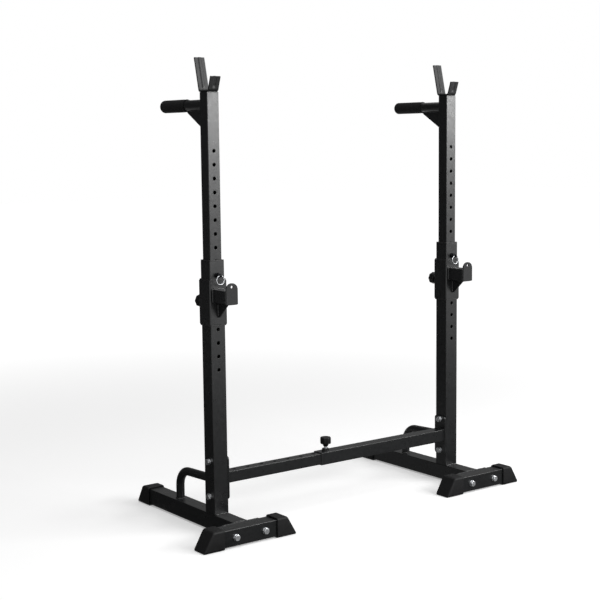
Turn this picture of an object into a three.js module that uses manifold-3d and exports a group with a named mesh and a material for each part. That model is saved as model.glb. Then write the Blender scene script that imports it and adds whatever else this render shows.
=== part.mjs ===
// Squat stand: two identical telescoping stands on long feet, joined by an adjustable crossbar.
// Millimetres, +Z up. The crossbar runs along X, the long feet along Y, and the front is towards -Y.
// The origin is on the floor, under the middle of the whole stand.
import * as THREE from "three";
import { mergeVertices } from "three/addons/utils/BufferGeometryUtils.js";
import Module from "manifold-3d";

// Fits shared by every piece
const seat = 0.3; // gap between two faces that bear on each other
const boltFit = 0.5; // radial room of a bolt in its hole
const slideFit = 0.3; // room on each side of a piece that slides in another
const overrun = 3; // how far a cutting body runs past what it cuts
const weldDistance = 0.001; // vertices nearer than this are one vertex

// Frame tubes
const uprightSpacing = 935;
const baseSize = 50;
const baseWall = 2.5;
const footSize = 50;
const footWall = 2.5;
const lowerSize = 50;
const lowerWall = 2.5;
const upperSize = 40;
const upperWall = 2;
const frameCorner = 2; // outside corner radius of the frame tubes
const boreCornerShare = 0.5; // a tube's inside corner radius, share of its outside one
const baseRearReach = 356.5; // upright axis to the mouth of the rear cap
const footReach = 152; // upright axis to the axis of the foot tube
const footHalf = 92; // half of the foot tube's bare length
const lowerTop = 811;
const upperTop = 1298;
const upperBottom = 585;

// Slanted end caps
const capProud = 5; // how far a cap stands out round its tube, and lifts the tube off the floor
const capTopLength = 37;
const capBottomLength = 72;
const capPocket = 30; // how deep the tube sits in the cap
const capCorner = 7;

// Flange between base tube and foot tube
const flangeWidth = 135;
const flangeThickness = 5;
const flangeCorner = 6;
const footBoltSpacing = 102;

// Bolts with washer and nut
const boltRadius = 5;
const boltHeadAcross = 17;
const boltHeadHeight = 6.5;
const boltNutHeight = 8;
const boltTail = 3; // thread that shows past the nut
const washerRadius = 10;
const washerThickness = 2;

// Height holes and the pull pin that locks the upper tube
const holePitch = 40;
const holeRadius = 5.5;
const upperHolesAbovePin = 9;
const upperHolesBelowPin = 4;
const lowerHolesBelowPin = 7;
const pinDrop = 41; // pin axis below the top of the lower tube
const pinRadius = 4.75;
const pinReach = 11; // how far the pin tip stands inside the lower tube's front face
const housingRadius = 8;
const housingLength = 7;
const pinHeadRadius = 6.5;
const pinHeadLength = 5.5;
const eyeThickness = 6;
const eyeRadius = 5;
const eyeCorner = 2;
const eyeLength = 8;
const eyeHoleRadius = 2.3;
const ringRadius = 13;
const ringWireRadius = 1.1;

// Plastic guide in the mouth of the lower tube
const guideFlange = 3;
const guideLength = 58;

// Brace behind the upright
const braceRadius = 13;
const braceWall = 2;
const braceReach = 207; // upright axis to the axis of the brace's leg
const braceTopHeight = 154;
const braceBendHeight = 146;
const braceBendRadius = 50;

// Cradle on top of the upper tube
const stripThickness = 5;
const cradleWidth = 34;
const cradleFloor = 44; // flat part between the legs
const cradleOffset = 3; // middle of the flat part behind the tube's axis
const backLegLength = 98;
const backLegLean = 13; // degrees back from upright
const frontLegLength = 40.5;
const frontLegLean = 19; // degrees forward from upright

// Dip handle
const dipDrop = 36; // handle axis below the top of the upper tube
const dipRadius = 16;
const dipWall = 2;
const gripStart = 116; // upright axis to the near end of the grip
const gripEnd = 249; // upright axis to the far end of the grip
const gripRadius = 19;
const gripEndWall = 4;
const gripRound = 7;
const dipGussetLength = 95;
const dipGussetHeight = 58;
const gussetThickness = 5;
const gussetNose = 5; // blunt end of a gusset's points

// Sliding catch on the lower tube
const sleeveSize = 60;
const sleeveWall = 3;
const sleeveCorner = 4;
const sleeveHeight = 130;
const sleeveBottom = 625;
const linerLip = 3.5; // height of the liner's lip past the sleeve
const linerLipWidth = 1.8; // how far the lip stands out over the sleeve's wall
const linerHoleRadius = 2.5;
const linerHoleHeight = 14; // small hole above the sleeve's lower edge
const armWidth = 40;
const armHeight = 40;
const armWall = 2.5;
const armLength = 66;
const armCorner = 3;
const armRise = 65; // underside of the arm above the sleeve's lower edge
const catchThickness = 5;
const catchHeight = 62.5;
const catchRound = 19;
const catchHoleRadius = 4;
const catchHoleDrop = 11;
const catchGussetLength = 47;
const catchGussetHeight = 43;

// Clamp knob on the rear face of the sliding catch
const knobRise = 63; // knob axis above the sleeve's lower edge
const knobScrewRadius = 5;
const knobBossRadius = 9;
const knobBossLength = 8;
const knobNeckRadius = 9;
const knobNeckLength = 9;
const knobHeadRadius = 20;
const knobHeadLength = 23;

// Crossbar
const crossHeight = 160; // axis above the floor
const innerSize = 35;
const outerSize = 40;
const crossWall = 2;
const crossCorner = 2;
const outerEnd = -83; // mouth of the outer tube
const crossOverlap = 166; // length of the inner tube held in the outer tube
const crossHolePitch = 50;
const crossHolesShown = 8; // holes from the left end to the one under the lock pin
const crossHolesHeld = 1; // holes further in
const crossPinInset = 29; // lock pin axis from the mouth of the outer tube
const bracketHeight = 130;
const bracketThickness = 5;
const bracketCorner = 9;
const bracketBoltSpacing = 106;

// Lock pin of the crossbar
const lockTipDepth = 8.5; // how far the tip stands below the top of the outer tube
const lockBossRadius = 12;
const lockBossLength = 8;
const lockShaftShown = 5.5;
const lockNeckRadius = 7;
const lockNeckTopRadius = 11;
const lockNeckLength = 9;
const lockHeadRadius = 17.5;
const lockHeadLength = 21;

// Knob heads
const lobeCount = 8;
const lobeDepthShare = 0.07; // share of the head's radius
const knobBevelShare = 0.12; // share of the head's radius

// How finely round shapes are divided
const roundSides = 18;
const holeSides = 12;
const wireSides = 6;
const ringSides = 20;
const arcSegments = 1;
const braceSteps = 12;
const lobeSteps = 4;
const knobBevelSteps = 2;
const gripRoundSteps = 4;
const hexSides = 6;

const quarterTurn = Math.PI / 2;
const halfTurn = Math.PI;
const fullTurn = Math.PI * 2;
const arcHandleShare = 0.5523; // handle of a cubic curve that follows a quarter circle

const capSize = baseSize + 2 * capProud;
const floorToTube = capProud;
const baseTop = floorToTube + baseSize;
const footRear = -footReach + footSize / 2;
const pinHeight = lowerTop - pinDrop;
const standRear = baseRearReach + capBottomLength;
const boltProud = seat + washerThickness + boltHeadHeight;
const standFront = -footReach - Math.max(capSize / 2, footSize / 2 + boltProud);
const standShift = -(standRear + standFront) / 2;

const powderCoat = new THREE.MeshStandardMaterial({ color: 0x26272a, roughness: 0.5, metalness: 0.1 });
const capRubber = new THREE.MeshStandardMaterial({ color: 0x1b1b1c, roughness: 0.8, metalness: 0 });
const gripFoam = new THREE.MeshStandardMaterial({ color: 0x161617, roughness: 0.95, metalness: 0 });
const guidePlastic = new THREE.MeshStandardMaterial({ color: 0x202021, roughness: 0.6, metalness: 0 });
const knobPlastic = new THREE.MeshStandardMaterial({ color: 0x141415, roughness: 0.4, metalness: 0 });
const blackSteel = new THREE.MeshStandardMaterial({ color: 0x1f2022, roughness: 0.45, metalness: 0.9 });
const zincSteel = new THREE.MeshStandardMaterial({ color: 0xc4c6c8, roughness: 0.25, metalness: 1 });

const wasm = await Module();
wasm.setup();

// Solids and booleans

function toSolid(geometry) {
  const bare = geometry.clone();
  bare.deleteAttribute("normal");
  bare.deleteAttribute("uv");
  const merged = mergeVertices(bare, weldDistance);
  const mesh = new wasm.Mesh({
    numProp: 3,
    vertProperties: new Float32Array(merged.attributes.position.array),
    triVerts: new Uint32Array(merged.index.array),
  });
  return new wasm.Manifold(mesh);
}

function toGeometry(solid) {
  const mesh = solid.getMesh();
  const geometry = new THREE.BufferGeometry();
  geometry.setAttribute("position", new THREE.BufferAttribute(new Float32Array(mesh.vertProperties), 3));
  geometry.setIndex(new THREE.BufferAttribute(new Uint32Array(mesh.triVerts), 1));
  return geometry;
}

function cut(body, tools) {
  let solid = toSolid(body);
  for (const tool of tools) {
    solid = solid.subtract(toSolid(tool));
  }
  return toGeometry(solid);
}

function join(bodies) {
  let solid = toSolid(bodies[0]);
  for (const body of bodies.slice(1)) {
    solid = solid.add(toSolid(body));
  }
  return toGeometry(solid);
}

// Basic shapes, each starting at the origin and running along +Z

function rectanglePath(path, width, height, radius) {
  const halfWidth = width / 2;
  const halfHeight = height / 2;
  path.moveTo(-halfWidth + radius, -halfHeight);
  path.lineTo(halfWidth - radius, -halfHeight);
  path.absarc(halfWidth - radius, -halfHeight + radius, radius, -quarterTurn, 0, false);
  path.lineTo(halfWidth, halfHeight - radius);
  path.absarc(halfWidth - radius, halfHeight - radius, radius, 0, quarterTurn, false);
  path.lineTo(-halfWidth + radius, halfHeight);
  path.absarc(-halfWidth + radius, halfHeight - radius, radius, quarterTurn, halfTurn, false);
  path.lineTo(-halfWidth, -halfHeight + radius);
  path.absarc(-halfWidth + radius, -halfHeight + radius, radius, halfTurn, halfTurn + quarterTurn, false);
  return path;
}

function prism(shape, length) {
  const settings = { depth: length, bevelEnabled: false, curveSegments: arcSegments };
  return new THREE.ExtrudeGeometry(shape, settings);
}

function bar(width, height, radius, length) {
  return prism(rectanglePath(new THREE.Shape(), width, height, radius), length);
}

// Rectangular tube with rounded corners
function boxTube(width, height, wall, radius, length) {
  const shape = rectanglePath(new THREE.Shape(), width, height, radius);
  const boreCorner = radius * boreCornerShare;
  const bore = rectanglePath(new THREE.Path(), width - 2 * wall, height - 2 * wall, boreCorner);
  shape.holes.push(bore);
  return prism(shape, length);
}

function rod(radius, length, sides = roundSides, topRadius = radius) {
  const geometry = new THREE.CylinderGeometry(topRadius, radius, length, sides);
  geometry.rotateX(quarterTurn);
  geometry.translate(0, 0, length / 2);
  return geometry;
}

function hexagon(across, length) {
  return rod(across / 2 / Math.cos(halfTurn / hexSides), length, hexSides);
}

// Turns of a shape that runs along +Z

function alongX(geometry) {
  return geometry.rotateY(quarterTurn);
}

function alongY(geometry) {
  return geometry.rotateX(-quarterTurn);
}

function moved(geometry, x, y, z) {
  return geometry.translate(x, y, z);
}

function piece(name, geometry, material, x, y, z) {
  const mesh = new THREE.Mesh(geometry, material);
  mesh.name = name;
  mesh.position.set(x, y, z);
  return mesh;
}

// Drill through one wall of an upright tube, in from its front face at a height
function frontDrill(radius, face, wall, height) {
  const drill = alongY(rod(radius, wall + 2 * overrun, holeSides));
  return moved(drill, 0, -face - overrun, height);
}

// Drill right through a tube along X at a height
function sideDrill(radius, size, height) {
  const drill = alongX(rod(radius, size + 2 * overrun, holeSides));
  return moved(drill, -size / 2 - overrun, 0, height);
}

// Slanted end cap: a rounded block from its mouth at the origin out along +X, its outer face
// sloping from the short top to the long bottom, with a pocket for the tube
function endCap(tubeSize) {
  const size = tubeSize + 2 * capProud;
  const block = alongX(bar(size, size, capCorner, capBottomLength));
  const pocketSize = tubeSize + 2 * seat;
  const pocketBar = bar(pocketSize, pocketSize, frameCorner, capPocket + overrun);
  const pocket = moved(alongX(pocketBar), -overrun, 0, 0);
  const slope = (capBottomLength - capTopLength) / size;
  const wedge = new THREE.Shape();
  wedge.moveTo(capTopLength - slope * overrun, size / 2 + overrun);
  wedge.lineTo(capBottomLength + slope * overrun, -size / 2 - overrun);
  wedge.lineTo(capBottomLength + 2 * overrun, -size / 2 - overrun);
  wedge.lineTo(capBottomLength + 2 * overrun, size / 2 + overrun);
  wedge.closePath();
  const trim = prism(wedge, size + 2 * overrun);
  trim.rotateX(quarterTurn);
  trim.translate(0, size / 2 + overrun, 0);
  return cut(block, [pocket, trim]);
}

// Hexagon bolt with washer and nut, along +Z: the grip is what it clamps, from z = 0
function bolt(grip) {
  const washer = moved(rod(washerRadius, washerThickness), 0, 0, -seat - washerThickness);
  const head = moved(hexagon(boltHeadAcross, boltHeadHeight), 0, 0, -boltProud);
  const shankLength = boltHeadHeight + grip + boltNutHeight;
  const shank = moved(rod(boltRadius, shankLength, holeSides), 0, 0, -boltHeadHeight);
  const nut = moved(hexagon(boltHeadAcross, boltNutHeight), 0, 0, grip + seat);
  const tail = moved(rod(boltRadius, boltNutHeight + boltTail, holeSides), 0, 0, grip + seat);
  return join([shank, washer, head, nut, tail]);
}

// Right-angled gusset in the YZ plane: its corner at the origin, one side along +Y, one down -Z
function gusset(length, height) {
  const shape = new THREE.Shape();
  shape.moveTo(0, 0);
  shape.lineTo(length, 0);
  shape.lineTo(length, -gussetNose);
  shape.lineTo(gussetNose, -height);
  shape.lineTo(0, -height);
  shape.closePath();
  const plate = prism(shape, gussetThickness);
  plate.translate(0, 0, -gussetThickness / 2);
  plate.rotateY(quarterTurn);
  plate.rotateX(quarterTurn);
  return plate;
}

// Knob head with soft lobes, from the origin along +Z
function lobedHead(radius, length) {
  const bevel = radius * knobBevelShare;
  const depth = radius * lobeDepthShare;
  const points = [];
  for (let step = 0; step < lobeCount * lobeSteps; step += 1) {
    const angle = (step / (lobeCount * lobeSteps)) * fullTurn;
    const reach = radius - bevel - depth * (0.5 - 0.5 * Math.cos(lobeCount * angle));
    points.push(new THREE.Vector2(reach * Math.cos(angle), reach * Math.sin(angle)));
  }
  const geometry = new THREE.ExtrudeGeometry(new THREE.Shape(points), {
    depth: length - 2 * bevel,
    bevelThickness: bevel,
    bevelSize: bevel,
    bevelSegments: knobBevelSteps,
  });
  geometry.translate(0, 0, bevel);
  return geometry;
}

// Fixed frame of one stand

function baseParts(side) {
  const tubeFront = footRear + 2 * seat + flangeThickness;
  const tubeRear = baseRearReach + capPocket - seat;
  const axis = floorToTube + baseSize / 2;
  const baseTube = alongY(boxTube(baseSize, baseSize, baseWall, frameCorner, tubeRear - tubeFront));
  const flangeBlank = alongY(bar(flangeWidth, baseSize, flangeCorner, flangeThickness));
  const footLength = 2 * (footHalf + capPocket - seat);
  const footTube = alongX(boxTube(footSize, footSize, footWall, frameCorner, footLength));
  const flangeDrills = [];
  const footDrills = [];
  for (const sign of [-1, 1]) {
    const x = (sign * footBoltSpacing) / 2;
    const flangeDrill = alongY(rod(boltRadius + boltFit, flangeThickness + 2 * overrun, holeSides));
    flangeDrills.push(moved(flangeDrill, x, -overrun, 0));
    const footDrill = alongY(rod(boltRadius + boltFit, footSize + 2 * overrun, holeSides));
    footDrills.push(moved(footDrill, x + footLength / 2, -footSize / 2 - overrun, 0));
  }
  const rearCap = piece(`${side}_rear_cap`, endCap(baseSize), capRubber, 0, baseRearReach, axis);
  rearCap.rotation.z = quarterTurn;
  const parts = [
    piece(`${side}_base_tube`, baseTube, powderCoat, 0, tubeFront, axis),
    piece(`${side}_base_flange`, cut(flangeBlank, flangeDrills), powderCoat, 0, footRear + seat, axis),
    piece(`${side}_foot_tube`, cut(footTube, footDrills), powderCoat, -footLength / 2, -footReach, axis),
    rearCap,
  ];
  for (const [name, sign] of [["left", -1], ["right", 1]]) {
    const capName = `${side}_foot_cap_${name}`;
    const cap = piece(capName, endCap(footSize), capRubber, sign * footHalf, -footReach, axis);
    cap.rotation.z = sign < 0 ? halfTurn : 0;
    const boltName = `${side}_foot_bolt_${name}`;
    const footBolt = alongY(bolt(footSize + seat + flangeThickness));
    const x = (sign * footBoltSpacing) / 2;
    parts.push(cap, piece(boltName, footBolt, zincSteel, x, -footReach - footSize / 2, axis));
  }
  return parts;
}

function uprightParts(side) {
  const bottom = baseTop + seat;
  const drills = [frontDrill(pinRadius + slideFit, lowerSize / 2, lowerWall, pinHeight - bottom)];
  for (let step = 1; step <= lowerHolesBelowPin; step += 1) {
    const height = pinHeight - step * holePitch - bottom;
    drills.push(frontDrill(holeRadius, lowerSize / 2, lowerWall, height));
  }
  for (const sign of [-1, 1]) {
    const height = crossHeight + (sign * bracketBoltSpacing) / 2 - bottom;
    drills.push(sideDrill(boltRadius + boltFit, lowerSize, height));
  }
  const lowerTube = cut(boxTube(lowerSize, lowerSize, lowerWall, frameCorner, lowerTop - bottom), drills);

  const guideOuter = lowerSize - 2 * lowerWall - 2 * seat;
  const guideBore = upperSize + 2 * slideFit;
  const guideWall = (guideOuter - guideBore) / 2;
  const skirt = boxTube(guideOuter, guideOuter, guideWall, frameCorner, guideLength);
  const flangeWall = (lowerSize - guideBore) / 2;
  const flange = boxTube(lowerSize, lowerSize, flangeWall, frameCorner, guideFlange);
  const flangeStart = guideLength + seat;
  const neckLength = flangeStart + guideFlange / 2;
  const neck = boxTube(guideOuter, guideOuter, guideWall, frameCorner, neckLength);
  const guideBody = join([skirt, neck, moved(flange, 0, 0, flangeStart)]);
  const guideBottom = lowerTop - guideLength;
  const guideDrill = frontDrill(pinRadius + slideFit, guideOuter / 2, guideWall, pinHeight - guideBottom);
  return [
    piece(`${side}_lower_upright`, lowerTube, powderCoat, 0, 0, bottom),
    piece(`${side}_upright_guide`, cut(guideBody, [guideDrill]), guidePlastic, 0, 0, guideBottom),
  ];
}

// Bent tube from the upright's rear face back and down to the base tube
function braceParts(side) {
  const start = new THREE.Vector3(0, lowerSize / 2 + 2 * seat, braceTopHeight);
  const corner = new THREE.Vector3(0, braceReach, braceBendHeight);
  const end = new THREE.Vector3(0, braceReach, baseTop + seat);
  const towardStart = start.clone().sub(corner).normalize();
  const towardEnd = end.clone().sub(corner).normalize();
  const bendStart = corner.clone().addScaledVector(towardStart, braceBendRadius);
  const bendEnd = corner.clone().addScaledVector(towardEnd, braceBendRadius);
  const handle = braceBendRadius * (1 - arcHandleShare);
  const path = new THREE.CurvePath();
  path.add(new THREE.LineCurve3(start, bendStart));
  path.add(new THREE.CubicBezierCurve3(
    bendStart,
    corner.clone().addScaledVector(towardStart, handle),
    corner.clone().addScaledVector(towardEnd, handle),
    bendEnd,
  ));
  path.add(new THREE.LineCurve3(bendEnd, end));
  const section = new THREE.Shape();
  section.absarc(0, 0, braceRadius, 0, fullTurn, false);
  const bore = new THREE.Path();
  bore.absarc(0, 0, braceRadius - braceWall, 0, fullTurn, false);
  section.holes.push(bore);
  const tube = new THREE.ExtrudeGeometry(section, {
    steps: braceSteps,
    extrudePath: path,
    curveSegments: holeSides / 2,
  });
  return [piece(`${side}_brace_tube`, tube, powderCoat, 0, 0, 0)];
}

// Upper tube with cradle and dip handle

function upperTubePart(side) {
  const drills = [];
  for (let step = -upperHolesBelowPin; step <= upperHolesAbovePin; step += 1) {
    const height = pinHeight + step * holePitch - upperBottom;
    drills.push(frontDrill(holeRadius, upperSize / 2, upperWall, height));
  }
  const tube = boxTube(upperSize, upperSize, upperWall, frameCorner, upperTop - upperBottom);
  return piece(`${side}_upper_upright`, cut(tube, drills), powderCoat, 0, 0, upperBottom);
}

// Flat strip bent into a cradle: a floor between a long back leg and a short front leg
function cradlePart(side) {
  const lean = [THREE.MathUtils.degToRad(frontLegLean), THREE.MathUtils.degToRad(backLegLean)];
  const reach = [frontLegLength, backLegLength];
  const inner = [];
  const outer = [];
  for (const [index, sign] of [[0, -1], [1, 1]]) {
    const along = new THREE.Vector2(sign * Math.sin(lean[index]), Math.cos(lean[index]));
    const out = new THREE.Vector2(sign * Math.cos(lean[index]), -Math.sin(lean[index]));
    const root = new THREE.Vector2((sign * cradleFloor) / 2, stripThickness);
    const tip = root.clone().addScaledVector(along, reach[index]);
    const outerTip = tip.clone().addScaledVector(out, stripThickness);
    const fall = stripThickness * Math.tan(quarterTurn / 2 - lean[index] / 2);
    const heel = new THREE.Vector2((sign * cradleFloor) / 2 + sign * fall, 0);
    inner.push([tip, root]);
    outer.push([outerTip, heel]);
  }
  const outline = [
    inner[0][0], inner[0][1], inner[1][1], inner[1][0],
    outer[1][0], outer[1][1], outer[0][1], outer[0][0],
  ];
  const strip = prism(new THREE.Shape(outline), cradleWidth);
  strip.translate(0, 0, -cradleWidth / 2);
  strip.rotateX(quarterTurn);
  strip.rotateZ(quarterTurn);
  return piece(`${side}_top_cradle`, strip, powderCoat, 0, cradleOffset, upperTop + seat);
}

function dipParts(side) {
  const axis = upperTop - dipDrop;
  const barStart = upperSize / 2 + seat;
  const barEnd = gripEnd - gripEndWall - seat;
  const section = new THREE.Shape();
  section.absarc(0, 0, dipRadius, 0, fullTurn, false);
  const bore = new THREE.Path();
  bore.absarc(0, 0, dipRadius - dipWall, 0, fullTurn, false);
  section.holes.push(bore);
  const dipBar = new THREE.ExtrudeGeometry(section, {
    depth: barEnd - barStart,
    bevelEnabled: false,
    curveSegments: roundSides / 2,
  });
  const gripBore = dipRadius + slideFit;
  const gripLength = gripEnd - gripStart;
  const profile = [new THREE.Vector2(gripBore, 0), new THREE.Vector2(gripRadius, 0)];
  for (let step = 0; step <= gripRoundSteps; step += 1) {
    const angle = (step / gripRoundSteps) * quarterTurn;
    const radius = gripRadius - gripRound + gripRound * Math.cos(angle);
    profile.push(new THREE.Vector2(radius, gripLength - gripRound + gripRound * Math.sin(angle)));
  }
  profile.push(new THREE.Vector2(0, gripLength));
  profile.push(new THREE.Vector2(0, gripLength - gripEndWall));
  profile.push(new THREE.Vector2(gripBore, gripLength - gripEndWall));
  profile.push(new THREE.Vector2(gripBore, 0));
  const grip = new THREE.LatheGeometry(profile, roundSides);
  const plate = gusset(dipGussetLength, dipGussetHeight);
  return [
    piece(`${side}_dip_bar`, alongY(dipBar), powderCoat, 0, barStart, axis),
    piece(`${side}_dip_grip`, grip, gripFoam, 0, gripStart, axis),
    piece(`${side}_dip_gusset`, plate, powderCoat, 0, barStart, axis - dipRadius - seat),
  ];
}

// Spring pin with pull ring on the front face of the lower tube

function pinParts(side) {
  const face = -lowerSize / 2;
  const bore = moved(rod(pinRadius + slideFit, housingLength + 2 * overrun, holeSides), 0, 0, -overrun);
  const housing = cut(rod(housingRadius, housingLength), [bore]);
  housing.rotateX(quarterTurn);

  const shankLength = pinReach + seat + housingLength + seat;
  const shank = rod(pinRadius, shankLength + pinHeadLength / 2, holeSides);
  const head = moved(rod(pinHeadRadius, pinHeadLength), 0, 0, shankLength);
  const eyeStart = shankLength + pinHeadLength - seat;
  const eye = moved(bar(eyeThickness, 2 * eyeRadius, eyeCorner, eyeLength), 0, 0, eyeStart);
  const eyeHole = eyeStart + eyeLength / 2;
  const hole = moved(alongX(rod(eyeHoleRadius, eyeThickness + 2 * overrun, holeSides)), 0, 0, eyeHole);
  hole.translate(-eyeThickness / 2 - overrun, 0, 0);
  const pin = cut(join([shank, head, eye]), [hole]);
  pin.rotateX(quarterTurn);

  const ring = new THREE.TorusGeometry(ringRadius, ringWireRadius, wireSides, ringSides);
  ring.rotateX(quarterTurn);
  const tip = face + pinReach;
  return [
    piece(`${side}_pin_housing`, housing, blackSteel, 0, face - seat, pinHeight),
    piece(`${side}_pull_pin`, pin, blackSteel, 0, tip, pinHeight),
    piece(`${side}_pull_ring`, ring, zincSteel, 0, tip - eyeHole, pinHeight - ringRadius - seat),
  ];
}

// Sliding catch on the lower tube

function sleeveParts(side) {
  const tube = boxTube(sleeveSize, sleeveSize, sleeveWall, sleeveCorner, sleeveHeight);
  const boss = alongY(rod(knobBossRadius, knobBossLength + sleeveWall / 2));
  boss.translate(0, (sleeveSize - sleeveWall) / 2, knobRise);
  const screwDrillLength = knobBossLength + sleeveWall + 2 * overrun;
  const screwDrill = alongY(rod(knobScrewRadius + seat, screwDrillLength, holeSides));
  screwDrill.translate(0, sleeveSize / 2 - sleeveWall - overrun, knobRise);
  const smallDrill = alongX(rod(linerHoleRadius, sleeveWall + 2 * overrun, holeSides));
  smallDrill.translate(-sleeveSize / 2 - overrun, 0, linerHoleHeight);
  const sleeve = cut(join([tube, boss]), [screwDrill, smallDrill]);

  const linerOuter = sleeveSize - 2 * sleeveWall - 2 * seat;
  const linerBore = lowerSize + 2 * slideFit;
  const linerWall = (linerOuter - linerBore) / 2;
  const linerLength = sleeveHeight + 2 * (seat + linerLip);
  const linerCorner = sleeveCorner * boreCornerShare;
  const body = boxTube(linerOuter, linerOuter, linerWall, linerCorner, linerLength);
  const lipSize = linerOuter + 2 * linerLipWidth;
  const lipWall = (lipSize - linerBore) / 2;
  const lowerLip = boxTube(lipSize, lipSize, lipWall, sleeveCorner, linerLip);
  const upperLip = moved(lowerLip.clone(), 0, 0, linerLength - linerLip);
  const linerDrill = alongY(rod(knobScrewRadius + seat, linerWall + 2 * overrun, holeSides));
  linerDrill.translate(0, linerOuter / 2 - linerWall - overrun, knobRise + seat + linerLip);
  const liner = cut(join([body, lowerLip, upperLip]), [linerDrill]);
  return [
    piece(`${side}_slider_sleeve`, sleeve, powderCoat, 0, 0, sleeveBottom),
    piece(`${side}_slider_liner`, liner, guidePlastic, 0, 0, sleeveBottom - seat - linerLip),
  ];
}

function catchParts(side) {
  const armStart = -sleeveSize / 2 - seat;
  const armBottom = sleeveBottom + armRise;
  const arm = boxTube(armWidth, armHeight, armWall, armCorner, armLength);
  arm.rotateX(quarterTurn);

  const half = armWidth / 2;
  const outline = new THREE.Shape();
  outline.moveTo(-half, 0);
  outline.lineTo(half, 0);
  outline.lineTo(half, catchHeight - catchRound);
  outline.absarc(half - catchRound, catchHeight - catchRound, catchRound, 0, quarterTurn, false);
  outline.lineTo(-half + catchRound, catchHeight);
  outline.absarc(-half + catchRound, catchHeight - catchRound, catchRound, quarterTurn, halfTurn, false);
  outline.closePath();
  const hole = new THREE.Path();
  hole.absarc(0, catchHeight - catchHoleDrop, catchHoleRadius, 0, fullTurn, true);
  outline.holes.push(hole);
  const plate = new THREE.ExtrudeGeometry(outline, {
    depth: catchThickness,
    bevelEnabled: false,
    curveSegments: holeSides / 2,
  });
  plate.rotateX(quarterTurn);

  const gussetPlate = gusset(catchGussetLength, catchGussetHeight);
  gussetPlate.rotateZ(halfTurn);
  return [
    piece(`${side}_catch_arm`, arm, powderCoat, 0, armStart, armBottom + armHeight / 2),
    piece(`${side}_catch_plate`, plate, powderCoat, 0, armStart - armLength - seat, armBottom),
    piece(`${side}_catch_gusset`, gussetPlate, powderCoat, 0, armStart, armBottom - seat),
  ];
}

// Knob whose screw runs from its tip at the origin along +Z to the head
function screwKnob(screwLength) {
  const screw = rod(knobScrewRadius, screwLength + knobNeckLength, holeSides);
  const neck = moved(rod(knobNeckRadius, knobNeckLength + seat), 0, 0, screwLength);
  const head = moved(lobedHead(knobHeadRadius, knobHeadLength), 0, 0, screwLength + knobNeckLength);
  return join([screw, neck, head]);
}

function knobParts(side) {
  const tipFace = lowerSize / 2 + seat;
  const screwLength = sleeveSize / 2 + knobBossLength + seat - tipFace;
  const knob = alongY(screwKnob(screwLength));
  return [piece(`${side}_slider_knob`, knob, knobPlastic, 0, tipFace, sleeveBottom + knobRise)];
}

// Crossbar between the stands

function bracket(side, inward, x) {
  const plate = bar(bracketHeight, lowerSize, bracketCorner, bracketThickness);
  const drills = [];
  for (const sign of [-1, 1]) {
    const drill = rod(boltRadius + boltFit, bracketThickness + 2 * overrun, holeSides);
    drills.push(moved(drill, (sign * bracketBoltSpacing) / 2, 0, -overrun));
  }
  const drilled = alongX(cut(plate, drills));
  const face = x + inward * (lowerSize / 2 + seat);
  const start = inward > 0 ? face : face - bracketThickness;
  return piece(`${side}_bracket_plate`, drilled, powderCoat, start, standShift, crossHeight);
}

// The bolts' heads face -X on both stands: on the right stand they lie on the bracket plate
function bracketBolts(side, inward, x) {
  const parts = [];
  const headFace = x - lowerSize / 2 - (inward > 0 ? 0 : seat + bracketThickness);
  const grip = lowerSize + seat + bracketThickness;
  for (const [name, sign] of [["lower", -1], ["upper", 1]]) {
    const height = crossHeight + (sign * bracketBoltSpacing) / 2;
    const boltName = `${side}_bracket_bolt_${name}`;
    parts.push(piece(boltName, alongX(bolt(grip)), zincSteel, headFace, standShift, height));
  }
  return parts;
}

function crossbarParts() {
  const plateFace = uprightSpacing / 2 - lowerSize / 2 - seat - bracketThickness - seat;
  const innerStart = -plateFace;
  const innerLength = outerEnd + crossOverlap - innerStart;
  const innerTube = alongX(boxTube(innerSize, innerSize, crossWall, crossCorner, innerLength));
  const lockX = outerEnd + crossPinInset;
  const holes = [];
  for (let step = -crossHolesHeld; step < crossHolesShown; step += 1) {
    const hole = rod(holeRadius, crossWall + 2 * overrun, holeSides);
    const holeX = lockX - step * crossHolePitch - innerStart;
    holes.push(moved(hole, holeX, 0, innerSize / 2 - crossWall - overrun));
  }
  const outerLength = plateFace - outerEnd;
  const outerTube = alongX(boxTube(outerSize, outerSize, crossWall, crossCorner, outerLength));
  const lockHole = rod(pinRadius + slideFit, crossWall + 2 * overrun, holeSides);
  lockHole.translate(crossPinInset, 0, outerSize / 2 - crossWall - overrun);

  const outerTop = crossHeight + outerSize / 2;
  const bossBoreLength = lockBossLength + 2 * overrun;
  const bossBore = moved(rod(pinRadius + slideFit, bossBoreLength, holeSides), 0, 0, -overrun);
  const boss = cut(rod(lockBossRadius, lockBossLength), [bossBore]);

  const shaftLength = lockTipDepth + seat + lockBossLength + lockShaftShown;
  const shaft = rod(pinRadius, shaftLength + lockNeckLength, holeSides);
  const taper = rod(lockNeckRadius, lockNeckLength + seat, roundSides, lockNeckTopRadius);
  const neck = moved(taper, 0, 0, shaftLength);
  const head = moved(lobedHead(lockHeadRadius, lockHeadLength), 0, 0, shaftLength + lockNeckLength);
  const knob = join([shaft, neck, head]);
  return [
    piece("crossbar_inner_tube", cut(innerTube, holes), powderCoat, innerStart, standShift, crossHeight),
    piece("crossbar_outer_tube", cut(outerTube, [lockHole]), powderCoat, outerEnd, standShift, crossHeight),
    piece("crossbar_lock_boss", boss, knobPlastic, lockX, standShift, outerTop + seat),
    piece("crossbar_lock_knob", knob, knobPlastic, lockX, standShift, outerTop - lockTipDepth),
  ];
}

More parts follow.
